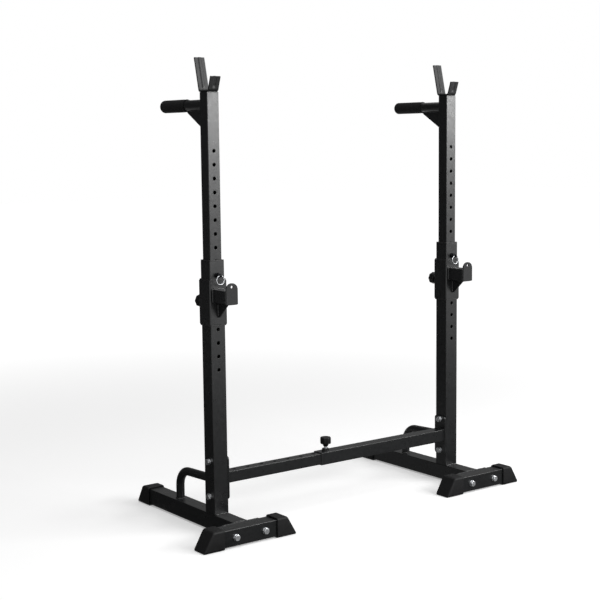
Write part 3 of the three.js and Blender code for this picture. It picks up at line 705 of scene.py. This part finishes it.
def cradleShape():
    # Grid of strip length x outline: centre line + x X + n N, the rib adding
    # height (0.5 - 0.5 tanh((|x| - width) / flank)) to n, faded to nothing over the floor.
    look = cradleLook
    half, lift, edge = look["floor"] / 2, look["thickness"] / 2, look["edge"]
    back, front = math.radians(look["backLean"]), math.radians(look["frontLean"])
    backFoot = np.array([half + lift * math.tan(math.pi / 4 - back / 2), lift])
    frontFoot = np.array([-half - lift * math.tan(math.pi / 4 - front / 2), lift])
    backTip = backFoot + (look["backLength"] + lift) * np.array([math.sin(back), math.cos(back)])
    frontTip = frontFoot + (look["frontLength"] + lift) * np.array([-math.sin(front), math.cos(front)])
    path = roundCorners([frontTip, frontFoot, backFoot, backTip], look["bend"], 1.5)
    tangent = np.gradient(path, axis=0)
    tangent /= np.linalg.norm(tangent, axis=1, keepdims=True)
    inward = np.stack([-tangent[:, 1], tangent[:, 0]], -1)
    flatHalf = look["width"] / 2 - edge
    across = np.linspace(-1, 1, look["columns"]) * flatHalf
    turn = np.linspace(-math.pi / 2, math.pi / 2, 7)[1:-1]
    right = np.stack([flatHalf + edge * np.cos(turn),
                      np.sign(turn) * (lift - edge) + edge * np.sin(turn)], -1)
    lower = np.stack([across, np.full(look["columns"], -lift)], -1)
    outline = np.concatenate([lower, right, -lower, -right])
    fade = np.clip((path[:, 1] - lift - look["bend"]) / look["ribFade"], 0, 1)
    fade = fade * fade * (3 - 2 * fade)
    flank = np.tanh((abs(outline[:, 0]) - look["ribWidth"]) / look["ribFlank"])
    rib = look["ribHeight"] * (0.5 - 0.5 * flank)
    out = outline[None, :, 1] + fade[:, None] * rib[None]
    side = np.broadcast_to(outline[None, :, 0], out.shape)
    return loft(np.concatenate([side[..., None], path[:, None] + out[..., None] * inward[:, None]], -1))


for side in sides:
    x, y, _ = middle(f"{side}_upper_upright")
    at = [x, y + cradleLook["offset"], nodeBox(f"{side}_top_cradle")[0][2]]
    standPiece(side, "cradle", "upper", "powderCoatOnStrip", "top_cradle", place(cradleShape(), at), sharp=50)
print("cradles made")


# Slider: sleeve with its knob nut, plastic liner, and the catch arm

sliderLook = {
    "size": 60.0,
    "wall": 3.0,
    "corner": 4.0,
    "holeHeight": 14.0,  # small hole in the left face
    "holeRadius": 2.5,
    "knobHeight": 63.0,  # the knob's screw enters the rear face
    "screwHole": 5.3,
    "bossRadius": 9.0,
    "bossLength": 8.0,
    "lip": 3.5,
    "lipOuter": 57.0,
    "lipInner": 50.6,
    "lipCorner": 4.0,
    "linerOuter": 53.4,
    "linerCorner": 2.5,
    "linerInset": 0.5,
    "linerEdge": 0.5,
    "nutBore": 5.4,
    "nutEdge": 0.8,
    "armSize": 40.0,
    "armWall": 2.5,
    "armCorner": 3.0,
}
guideLook = {  # plastic bush in the lower upright's mouth
    "lip": 3.0,
    "lipOuter": 50.0,
    "lipCorner": 2.0,
    "skirtOuter": 44.4,
    "skirtCorner": 2.5,
    "bore": 40.6,
    "edge": 0.6,
}


def ringStack(x, y, rings):
    # Lip rings on one upright axis, each with the height of its lower face.
    return join([place(lipRing(*ring), [x, y, z]) for z, *ring in rings])


look = sliderLook
for side in sides:
    x, y, _ = middle(f"{side}_lower_upright")
    low, high = nodeBox(f"{side}_slider_sleeve")
    holes = {2: [(look["knobHeight"], look["screwHole"])], 3: [(look["holeHeight"], look["holeRadius"])]}
    sleeve = tubeShape(look["size"], look["wall"], high[2] - low[2], holes, look["corner"])
    standPiece(side, "sleeve", "slider", "powderCoatBlack", "slider_sleeve", place(sleeve, [x, y, low[2]]),
               bevel=tubeLook["edge"], bevelAngle=50)
    nut = turnedBar(look["bossRadius"], -0.5, look["bossLength"], top=look["nutEdge"], bore=look["nutBore"])
    nutAt = [x, y + look["size"] / 2, low[2] + look["knobHeight"]]
    standPiece(side, "knob_nut", "slider", "powderCoatBlack", None, place(nut, nutAt, yAxis, xAxis), sharp=30)

    low, high = nodeBox(f"{side}_slider_liner")
    lip, inset = (look["lipOuter"], look["lipInner"], look["lip"], look["lipCorner"]), look["linerInset"]
    liner = ringStack(x, y, [(low[2], *lip), (high[2] - look["lip"], *lip),
                             (low[2] + inset, look["linerOuter"], look["lipInner"],
                              high[2] - low[2] - 2 * inset, look["linerCorner"])])
    standPiece(side, "liner", "slider", "nylonMouldedBlack", "slider_liner", liner, bevel=look["linerEdge"])
    boxTube(f"{side}_arm", f"{side}_catch_arm", f"{side}_slider", look["armSize"], look["armWall"], {},
            yAxis, xAxis, look["armCorner"])

    low, high = nodeBox(f"{side}_upright_guide")
    lip, bore = guideLook["lip"], guideLook["bore"]
    guide = ringStack(x, y, [(high[2] - lip, guideLook["lipOuter"], bore, lip, guideLook["lipCorner"]),
                             (low[2], guideLook["skirtOuter"], bore, high[2] - low[2] - 1.0,
                              guideLook["skirtCorner"])])
    standPiece(side, "guide", "stand", "nylonMouldedBlack", "upright_guide", guide, bevel=guideLook["edge"])
print("sliders made")


# Pull pins with their rings

pinLook = {
    "pinRadius": 4.75,
    "headRadius": 6.5,
    "headLength": 5.5,
    "eyeRadius": 4.6,
    "eyeHole": 2.3,
    "eyeThickness": 5.0,
    "housingRadius": 8.0,
    "ringWire": 1.1,
    "ringRadius": 13.0,
    "tipLead": 1.2,
    "headGap": 0.3,  # between the head and the housing
    "headEdge": ((0, 1.6), (0.5, 0.7), (1.6, 0)),  # in from the radius, down from the end
    "housingEdge": ((0, 2.6), (0.7, 1.9), (0.9, 1.2), (1.2, 0)),
    "housingBore": (5.1, 5.6, 0.6),  # bore, mouth and the length it opens over
    "eyeStretch": 1.25,  # the eye is longer outward than it is wide
}

look = pinLook
for side in sides:
    low, high = nodeBox(f"{side}_pin_housing")
    x, _, z = (low + high) / 2
    housing = collar(look["housingRadius"], high[1] - low[1], look["housingEdge"], *look["housingBore"], 48)
    standPiece(side, "pin_collar", "stand", "blackOxideSteel", "pin_housing",
               place(housing, [x, high[1], z], -yAxis, xAxis), sharp=25)

    tip = nodeBox(f"{side}_pull_pin")[1][1]
    shank, head = tip - (low[1] - look["headGap"]), look["headRadius"]
    end = shank + look["headLength"]
    body = lathe([*shankProfile(look["pinRadius"], look["tipLead"], shank, head),
                  *[[head - inward, end - down] for inward, down in look["headEdge"]],
                  [axisGap, end + 0.3]], 40)
    ringMiddle = middle(f"{side}_pull_ring")
    circle = look["eyeRadius"] * unitCircle(40)
    circle[:, 1] = np.where(circle[:, 1] > 0, circle[:, 1] * look["eyeStretch"], circle[:, 1])
    eye = drilledPlate(circle, np.zeros(2), look["eyeHole"], look["eyeThickness"])
    pin = join([place(body, [x, tip, z], -yAxis, xAxis),
                place(eye, [x - look["eyeThickness"] / 2, ringMiddle[1], z], xAxis, zAxis)])
    standPiece(side, "pin", "pin", "blackOxideSteel", "pull_pin", pin, sharp=35)

    circle = unitCircle(72)
    path = ringMiddle + look["ringRadius"] * (circle[:, :1] * xAxis + circle[:, 1:] * zAxis)
    standPiece(side, "split_ring", "ring", "zincPlateBright", "pull_ring",
               sweep(path, look["ringWire"], yAxis, 14, ring=True))
print("pull pins made")


# Bolts with washer and nut

boltLook = {
    "across": 17.0,
    "headHeight": 6.5,
    "washerRadius": 10.0,
    "washerThickness": 2.0,
    "nutHeight": 8.0,
    "threadRadius": 5.0,
    "threadPitch": 1.5,
    "tail": 3.0,
    "crown": 0.94,  # share of the flats' half width where the chamfer cone starts
    "threadDepth": 0.7,
    "washerEdges": (0.3, 0.4),
    "washerBore": 4.0,
    "gap": 0.1,  # under the washer, the head and the nut
    "headStack": 8.8,  # from the top of the head to the plate
}
boltTurns = {  # degrees that each head stands turned, as tightened
    "left": {"foot_bolt_left": 12, "foot_bolt_right": 47, "bracket_bolt_lower": 20, "bracket_bolt_upper": 52},
    "right": {"foot_bolt_left": 31, "foot_bolt_right": 5, "bracket_bolt_lower": 20, "bracket_bolt_upper": 52},
}


def hexBody(height):
    # Hexagon r(a) = half / cos(a mod 60 - 30), its top trimmed by a 30 degree cone.
    half, count = boltLook["across"] / 2, 72
    angle = np.arange(count) * 2 * math.pi / count
    reach = half / np.cos(np.mod(angle, math.pi / 3) - math.pi / 6)
    flat = np.full(count, half * boltLook["crown"])
    edge = height - (reach - flat) * math.tan(math.radians(30))
    top = np.full(count, height)
    return loft(spun(np.stack([reach * 0.3, reach, reach, flat, flat * 0.5, flat * 0 + axisGap]),
                     np.stack([top * 0, top * 0, edge, top, top, top]), count))


def threadEnd(length):
    # Thread as ridges along the shank: radius falls and rises half a pitch apart.
    radius = boltLook["threadRadius"]
    count = int(length / boltLook["threadPitch"]) * 2
    along = np.linspace(0, length - 0.8, count + 1)
    ridges = np.stack([radius - boltLook["threadDepth"] * (np.arange(count + 1) % 2), along], -1)
    return lathe([[axisGap, 0], *ridges, [radius - 1.2, length], [axisGap, length]], 32)


def bolt(headFace, nutFace, direction, across):
    # Head outside headFace and nut outside nutFace, both points on the bolt's axis.
    look = boltLook
    out, thickness, gap = -direction, look["washerThickness"], look["gap"]
    washer = turnedBar(look["washerRadius"], 0, thickness, *look["washerEdges"], look["washerBore"], 56)
    return join([place(washer, headFace + gap * out, out, across),
                 place(hexBody(look["headHeight"]), headFace + (thickness + 2 * gap) * out, out, across),
                 place(hexBody(look["nutHeight"]), nutFace + gap * direction, direction, across),
                 place(threadEnd(look["nutHeight"] + look["tail"]), nutFace, direction, across)])


for side in sides:
    for name, degrees in boltTurns[side].items():
        direction, level = (yAxis, xAxis) if "foot" in name else (xAxis, yAxis)
        low, high = nodeBox(f"{side}_{name}")
        centre = (low + high) / 2
        headFace = np.where(direction, low + boltLook["headStack"], centre)
        nutFace = np.where(direction, high - boltLook["nutHeight"] - boltLook["tail"], centre)
        across = math.cos(math.radians(degrees)) * level + math.sin(math.radians(degrees)) * zAxis
        standPiece(side, name + "_set", "stand", "zincPlateBright", name,
                   bolt(headFace, nutFace, direction, across), sharp=25)
print("bolts made")


# Knobs

knobLook = {
    "lobes": 8,
    "lobeDepth": 0.075,  # share of the head's radius
    "round": 2.6,  # rounding of the head's edges
    "dish": 1.0,  # depth of the recess in the head's face
    "dishShare": 0.62,  # recess radius as a share of the head's radius
    "screwRadius": 5.0,
    "neckRadius": 9.0,
    "neckLength": 9.0,
    "headRadius": 20.0,
    "headLength": 23.0,
    "tipLead": 0.8,
}
lockLook = {
    "shaftRadius": 4.75,
    "shaftLead": 1.2,
    "neck": (7.0, 11.0),  # radius below and above
    "neckLength": 9.0,
    "headRadius": 17.5,
    "headLength": 21.0,
    "turn": 0.15,  # radians that the head stands turned
    "collarRadius": 12.0,
    "collarEdge": ((0, 2.4), (1.6, 0.7), (2.4, 0)),  # in from the radius, down from the end
    "collarBore": (5.2, 5.9, 0.7),  # bore, mouth and the length it opens over
}


def knobHead(radius, length, turn=0.0):
    # Head along +Z: r(a, s) = profile(s) (1 - depth lobe(a) grip(s)), lobe = (0.5 - 0.5 cos n a)^0.7,
    # with grip near 1 on the side and 0 on the faces, and a shallow dish in the top.
    look = knobLook
    rounding, dish, floor = look["round"], look["dishShare"] * radius, length - look["dish"]
    t = np.linspace(0, math.pi / 2, 8)
    side = radius - rounding
    lowerEdge = np.stack([side + rounding * np.sin(t), rounding - rounding * np.cos(t)], -1)
    upperEdge = np.stack([side + rounding * np.cos(t), length - rounding + rounding * np.sin(t)], -1)
    top = [[dish + 0.9, length], [dish, length - 0.35], [dish - 0.5, floor], [dish * 0.5, floor],
           [axisGap, floor]]
    profile = np.concatenate([[[axisGap, 0], [radius * 0.5, 0]], lowerEdge, upperEdge, top])
    count = look["lobes"] * 16
    angle = np.arange(count) * 2 * math.pi / count
    lobe = (0.5 - 0.5 * np.cos(look["lobes"] * (angle + turn))) ** 0.7
    grip = np.clip((profile[:, :1] - radius * 0.7) / (radius * 0.2), 0, 1)
    return loft(spun(profile[:, :1] * (1 - look["lobeDepth"] * lobe * grip), profile[:, 1:], count))


look = knobLook
for side in sides:
    tip, length = lowEnd(f"{side}_slider_knob", 1)
    neckEnd, radius = length - look["headLength"], look["neckRadius"]
    stem = lathe([*shankProfile(look["screwRadius"], look["tipLead"], neckEnd - look["neckLength"], radius),
                  [radius, neckEnd], [axisGap, neckEnd + 0.5]], 40)
    head = place(knobHead(look["headRadius"], look["headLength"]), [0, 0, neckEnd])
    standPiece(side, "clamp_knob", "knob", "absKnobBlack", "slider_knob",
               place(join([stem, head]), tip, yAxis, xAxis), sharp=40)

look = lockLook
tip, length = lowEnd("crossbar_lock_knob", 2)
headZ = length - look["headLength"]
neckZ, (neckLow, neckHigh) = headZ - look["neckLength"], look["neck"]
neck = lathe([[axisGap, 0], [neckLow - 0.8, 0], [neckLow, 0.8], [neckHigh, look["neckLength"]],
              [axisGap, look["neckLength"] + 0.5]], 48)
head = knobHead(look["headRadius"], look["headLength"], look["turn"])
makePiece("crossbar_lock_head", join([place(neck, tip + neckZ * zAxis), place(head, tip + headZ * zAxis)]),
          "crossbar_lock", "absKnobBlack", ["crossbar_lock_knob"], sharp=40)
shaft = turnedBar(look["shaftRadius"], 0, neckZ + 0.5, look["shaftLead"])
makePiece("crossbar_lock_pin", place(shaft, tip), "crossbar_lock", "zincPlateBright", sharp=35)
bossBottom, height = lowEnd("crossbar_lock_boss", 2)
boss = collar(look["collarRadius"], height, look["collarEdge"], *look["collarBore"], 56)
makePiece("crossbar_lock_collar", place(boss, [tip[0], tip[1], bossBottom[2]]), "right_stand",
          "absKnobBlack", ["crossbar_lock_boss"], sharp=30)
print("knobs made")


# Weld beads under the coat

weldLook = {
    "ripple": 0.10,  # share of the radius
    "pitch": 3.2,  # from one ripple to the next
    "step": 0.8,
    "base": (22, 25.2, 0.6, 2.3),  # half its length, distance from the axis, lift, and the bead's radius
    "cradle": (18, 19.6, 0.2, 1.6),
    "brace": (13.2, 2.0),  # outline's radius or size, then the bead's radius
    "braceWall": 25.6,  # distance of the joint from the upright's axis
    "dip": (16.3, 2.0),
    "dipWall": 20.4,
    "nut": (9.2, 1.5),
    "flange": (49.0, 1.6),
    "lift": 0.4,  # off the flange and off the base
    "arm": (40.4, 2.2, 1.3),  # bead's radius at the sleeve and at the plate
    "crossbar": (0.6, 1.8),  # outline past the crossbar's size, then the bead's radius
    "lock": 1.3,
    "frameCorner": 2.5,
    "armCorner": 3.0,
    "ribEdge": 2.6,  # from a rib's middle to the beads beside it
    "dipRib": {"wall": 20.5, "drop": 3, "ends": (23, 108), "lift": 0.3, "radii": (2.0, 1.8)},
    "catchRib": {"wall": -30.6, "drop": 2, "ends": (-34, -75), "lift": 0.2, "radii": (1.6, 1.8)},
}


def bead(points, normal, radius, ring=False):
    # Tube along a joint whose radius ripples: r (1 + ripple sin(2 pi s / pitch)), drawn to a point at
    # the ends of an open seam.
    look = weldLook
    path = resample(np.asarray(points, float), look["step"], ring)
    along = np.arange(len(path)) * look["step"]
    size = radius * (1 + look["ripple"] * np.sin(2 * math.pi * along / look["pitch"])
                     + 0.5 * look["ripple"] * np.sin(2 * math.pi * along / (look["pitch"] * 3.7)))
    if not ring:
        fromEnd = np.minimum(along, along[::-1])
        size = size * np.sqrt(np.clip(fromEnd / (1.5 * radius), 0.01, 1))
    return sweep(path, size, normal, 10, ring)


def beadRound(centre, outline, normal, radius):
    # Bead round a tube that runs along normal: its outline lies in the two other axes.
    first, second = [axis for axis in (xAxis, yAxis, zAxis) if not axis @ normal]
    return bead(centre + outline[:, :1] * first + outline[:, 1:] * second, normal, radius, True)


def crossSeams(x, y, z, half, depth, lift, radius):
    # Straight beads across the front and the rear of an upright.
    return [bead([[x + half * side, y + depth * end, z + lift] for side in (-1, 1)], zAxis, radius)
            for end in (-1, 1)]


def ribBeads(x, y, node, wall, drop, ends, lift, radii):
    # Beads on both sides of a gusset: along the part over it, and up the wall it stands on.
    low, high = nodeBox(node)
    for edge in (x - weldLook["ribEdge"], x + weldLook["ribEdge"]):
        yield bead([[edge, y + reach, high[2] + lift] for reach in ends], xAxis, radii[0])
        yield bead([[edge, y + wall, z] for z in (high[2] - drop, low[2] + 2)], xAxis, radii[1])


look = weldLook
for side, inner, bar in (("left", 1, "innerSize"), ("right", 0, "outerSize")):
    x, y, _ = middle(f"{side}_lower_upright")
    baseTop = nodeBox(f"{side}_base_tube")[1][2]
    flangeFace, baseZ = nodeBox(f"{side}_base_flange")[1][1], middle(f"{side}_base_tube")[2]
    plateFace = nodeBox(f"{side}_bracket_plate")[inner][0]
    lift, (size, flangeBead), (past, barBead) = look["lift"], look["flange"], look["crossbar"]
    flangeRim = roundedOutline(size, size, look["frameCorner"])
    barRim = roundedOutline(crossbarLook[bar] + past, crossbarLook[bar] + past, look["frameCorner"])
    radius, braceBead = look["brace"]
    ring = radius * unitCircle(60)
    beads = [*crossSeams(x, y, baseTop, *look["base"]),
             beadRound([x, y + look["braceWall"], roundLook["braceTop"]], ring, yAxis, braceBead),
             beadRound([x, y + roundLook["braceReach"], baseTop + lift], ring, zAxis, braceBead),
             beadRound([x, flangeFace + lift, baseZ], flangeRim, yAxis, flangeBead),
             beadRound([plateFace, y, outerMiddle[2]], barRim, xAxis, barBead)]
    if side == "right":
        ring = lockLook["collarRadius"] * unitCircle(60)
        beads.append(beadRound([lockX, y, bossBottom[2]], ring, zAxis, look["lock"]))
    standPiece(side, "frame_welds", "stand", "powderCoatOnWeld", None, join(beads), sharp=80)

    tubeTop, dipZ = nodeBox(f"{side}_upper_upright")[1][2], middle(f"{side}_dip_bar")[2]
    radius, dipBead = look["dip"]
    beads = [*crossSeams(x, y, tubeTop, *look["cradle"]),
             beadRound([x, y + look["dipWall"], dipZ], radius * unitCircle(60), yAxis, dipBead),
             *ribBeads(x, y, f"{side}_dip_gusset", **look["dipRib"])]
    standPiece(side, "upper_welds", "upper", "powderCoatOnWeld", None, join(beads), sharp=80)

    (size, rearBead, frontBead), (radius, nutBead) = look["arm"], look["nut"]
    low, high = nodeBox(f"{side}_catch_arm")
    armZ, armRim = (low[2] + high[2]) / 2, roundedOutline(size, size, look["armCorner"])
    nut = [x, y + sliderLook["size"] / 2, middle(f"{side}_slider_knob")[2]]
    beads = [beadRound([x, high[1], armZ], armRim, yAxis, rearBead),
             beadRound([x, low[1], armZ], armRim, yAxis, frontBead),
             beadRound(nut, radius * unitCircle(60), yAxis, nutBead),
             *ribBeads(x, y, f"{side}_catch_gusset", **look["catchRib"])]
    standPiece(side, "slider_welds", "slider", "powderCoatOnWeld", None, join(beads), sharp=80)
print("welds made")


# Floor, light and camera

stageLook = {
    "floorSize": 40.0,  # metres
    "floorColour": "#f4f4f4",
    "floorGlow": (0.32, 0.70),  # added near and far for the camera and for mirrors: the floor reads as white
    "glowReach": (1.2, 4.5),  # distances from the middle between which the glow grows
    "ambient": 0.35,
}
lampLook = {
    "keySoftbox": {"power": 74.0, "at": (1.50, -2.76, 1.44), "size": (3.0, 0.42)},
    "highSoftbox": {"power": 34.0, "at": (1.95, -2.75, 2.95), "size": (2.6, 0.55)},
    "overheadSoftbox": {"power": 45.0, "at": (-1.2, -1.6, 4.2), "size": (3.0, 3.0)},
}
lampTarget = (0.0, -0.1, 1.0)
paintedReflectionLook = {  # sheets round the set that glow grey with no lamp in them and that only reflections see: painted reflections, darker than the white world, on the black coat and the metal
    "floorSheet": {"at": (0, -1.2, -0.0003), "up": yAxis, "size": (5.0, 2.7), "level": 0.18},
    "middleFloorSheet": {"at": (-0.02, 1.3, -0.0003), "up": yAxis, "size": (0.94, 2.3), "level": 0.18},
    "leftFloorSheet": {"at": (-1.55, 0.9, -0.0002), "up": yAxis, "size": (2.1, 3.2), "level": 0.04},
    "leftSheet": {"at": (-2.4, 1.9, 2.2), "right": (0.8, 0.6, 0), "size": (4.0, 4.4), "level": 0.07},
    "rearSheet": {"at": (-0.2, 4.0, 3.0), "size": (2.4, 6.0), "level": 0.08},
    "backSheet": {"at": (2.8, 3.3, 2.2), "right": (0.8, -0.6, 0), "size": (4.6, 4.4), "level": 0.22},
}
white = (1, 1, 1, 1)

world = bpy.data.worlds.new("studio")
bpy.context.scene.world = world
world.use_nodes = True
tree = world.node_tree
tree.nodes.clear()


def seenDirectly(tree):
    # 1 for camera, glossy and transmission rays, else 0.
    path = addNode(tree, "LightPath")
    both = addNode(tree, "Math", {0: path.outputs["Is Camera Ray"], 1: path.outputs["Is Glossy Ray"]},
                   operation="MAXIMUM")
    return addNode(tree, "Math", {0: both.outputs[0], 1: path.outputs["Is Transmission Ray"]},
                   operation="MAXIMUM").outputs[0]


shown = addNode(tree, "Background", {"Color": white, "Strength": 1.0})
ambient = addNode(tree, "Background", {"Color": white, "Strength": stageLook["ambient"]})
mixed = addNode(tree, "MixShader", {"Fac": seenDirectly(tree), 1: ambient.outputs[0], 2: shown.outputs[0]})
addNode(tree, "OutputWorld", {"Surface": mixed.outputs[0]})


def stageSheet(name, at, size, material, right=xAxis, up=zAxis):
    # Flat sheet at a place: at + a right + b up, with a and b half its size either way.
    right, up = np.array(right) * size[0] / 2, np.array(up) * size[1] / 2
    mesh = bpy.data.meshes.new(name)
    mesh.from_pydata([tuple(np.array(at) + a * right + b * up)
                      for a, b in ((-1, -1), (1, -1), (1, 1), (-1, 1))], [], [(0, 1, 2, 3)])
    mesh.materials.append(material)
    sheet = addObject(name, mesh)
    return sheet


floorMaterial, tree = newMaterial("paleStudioFloor")
reach = addNode(tree, "VectorMath", {0: addNode(tree, "TexCoord").outputs["Object"]}, operation="LENGTH")
(near, far), (low, high) = stageLook["glowReach"], stageLook["floorGlow"]
growth = addNode(tree, "MapRange", {"Value": reach.outputs["Value"], "From Min": near, "From Max": far,
                                    "To Min": low, "To Max": high}, interpolation_type="SMOOTHSTEP")
glow = addNode(tree, "Math", {0: seenDirectly(tree), 1: growth.outputs["Result"]}, operation="MULTIPLY")
floorShader = addNode(tree, "BsdfPrincipled", {
    "Base Color": linearColour(stageLook["floorColour"]), "Roughness": 0.9, "Specular IOR Level": 0.0,
    "Emission Color": white, "Emission Strength": glow.outputs[0]})
addNode(tree, "OutputMaterial", {"Surface": floorShader.outputs["BSDF"]})
stageSheet("floor", (0, 0, -0.0005), [stageLook["floorSize"]] * 2, floorMaterial, up=yAxis)

# Each sheet glows at its level and is hidden from the camera, from diffuse light and from shadows, so it only
# paints darker reflections onto the stands.
for name, look in paintedReflectionLook.items():
    paintedReflectionMaterial, tree = newMaterial(name + "PaintedReflection")
    glow = addNode(tree, "Emission", {"Color": white, "Strength": look["level"]})
    addNode(tree, "OutputMaterial", {"Surface": glow.outputs[0]})
    paintedReflectionSheet = stageSheet(name, look["at"], look["size"], paintedReflectionMaterial, look.get("right", xAxis),
                      look.get("up", zAxis))
    paintedReflectionSheet.visible_camera = paintedReflectionSheet.visible_diffuse = paintedReflectionSheet.visible_shadow = paintedReflectionSheet.visible_transmission = False


def standing(at, right, back):
    # Matrix of something at a place that looks away from back, with its right side to the right.
    matrix = np.eye(4)
    matrix[:3] = np.stack([right, np.cross(back, right), back, at], 1)
    return Matrix(matrix.tolist())


for name, look in lampLook.items():
    lamp = bpy.data.lights.new(name, "AREA")
    lamp.shape = "RECTANGLE"
    lamp.size, lamp.size_y = look["size"]
    lamp.energy = look["power"]
    holder = addObject(name, lamp)
    away = np.array(look["at"]) - np.array(lampTarget)
    away /= np.linalg.norm(away)
    across = np.cross(zAxis, away)
    holder.matrix_world = standing(look["at"], across / np.linalg.norm(across), away)

cameraLook = {
    "eye": (-2.5344, -3.3122, 1.1589),
    "azimuth": -36.783,  # degrees, 0 looks along +Y
    "elevation": 7.015,
    "roll": -0.644,
    "focal": 1302.3,  # pixels, in a frame 600 wide
    "frame": 600.0,
    "sensor": 36.0,
}

turn, tilt, roll = [math.radians(cameraLook[key]) for key in ("azimuth", "elevation", "roll")]
back = np.array([math.sin(turn) * math.cos(tilt), -math.cos(turn) * math.cos(tilt), math.sin(tilt)])
right = np.cross(zAxis, back)
right /= np.linalg.norm(right)
up = np.cross(back, right)
rolledRight = math.cos(roll) * right + math.sin(roll) * up
cameraData = bpy.data.cameras.new("camera")
cameraData.sensor_width = cameraLook["sensor"]
cameraData.lens = cameraLook["focal"] / cameraLook["frame"] * cameraLook["sensor"]
cameraData.clip_end = 100
camera = addObject("camera", cameraData)
camera.matrix_world = standing(cameraLook["eye"], rolledRight, back)
bpy.context.scene.camera = camera
bpy.context.scene.view_settings.view_transform = "Standard"
print("stage made")
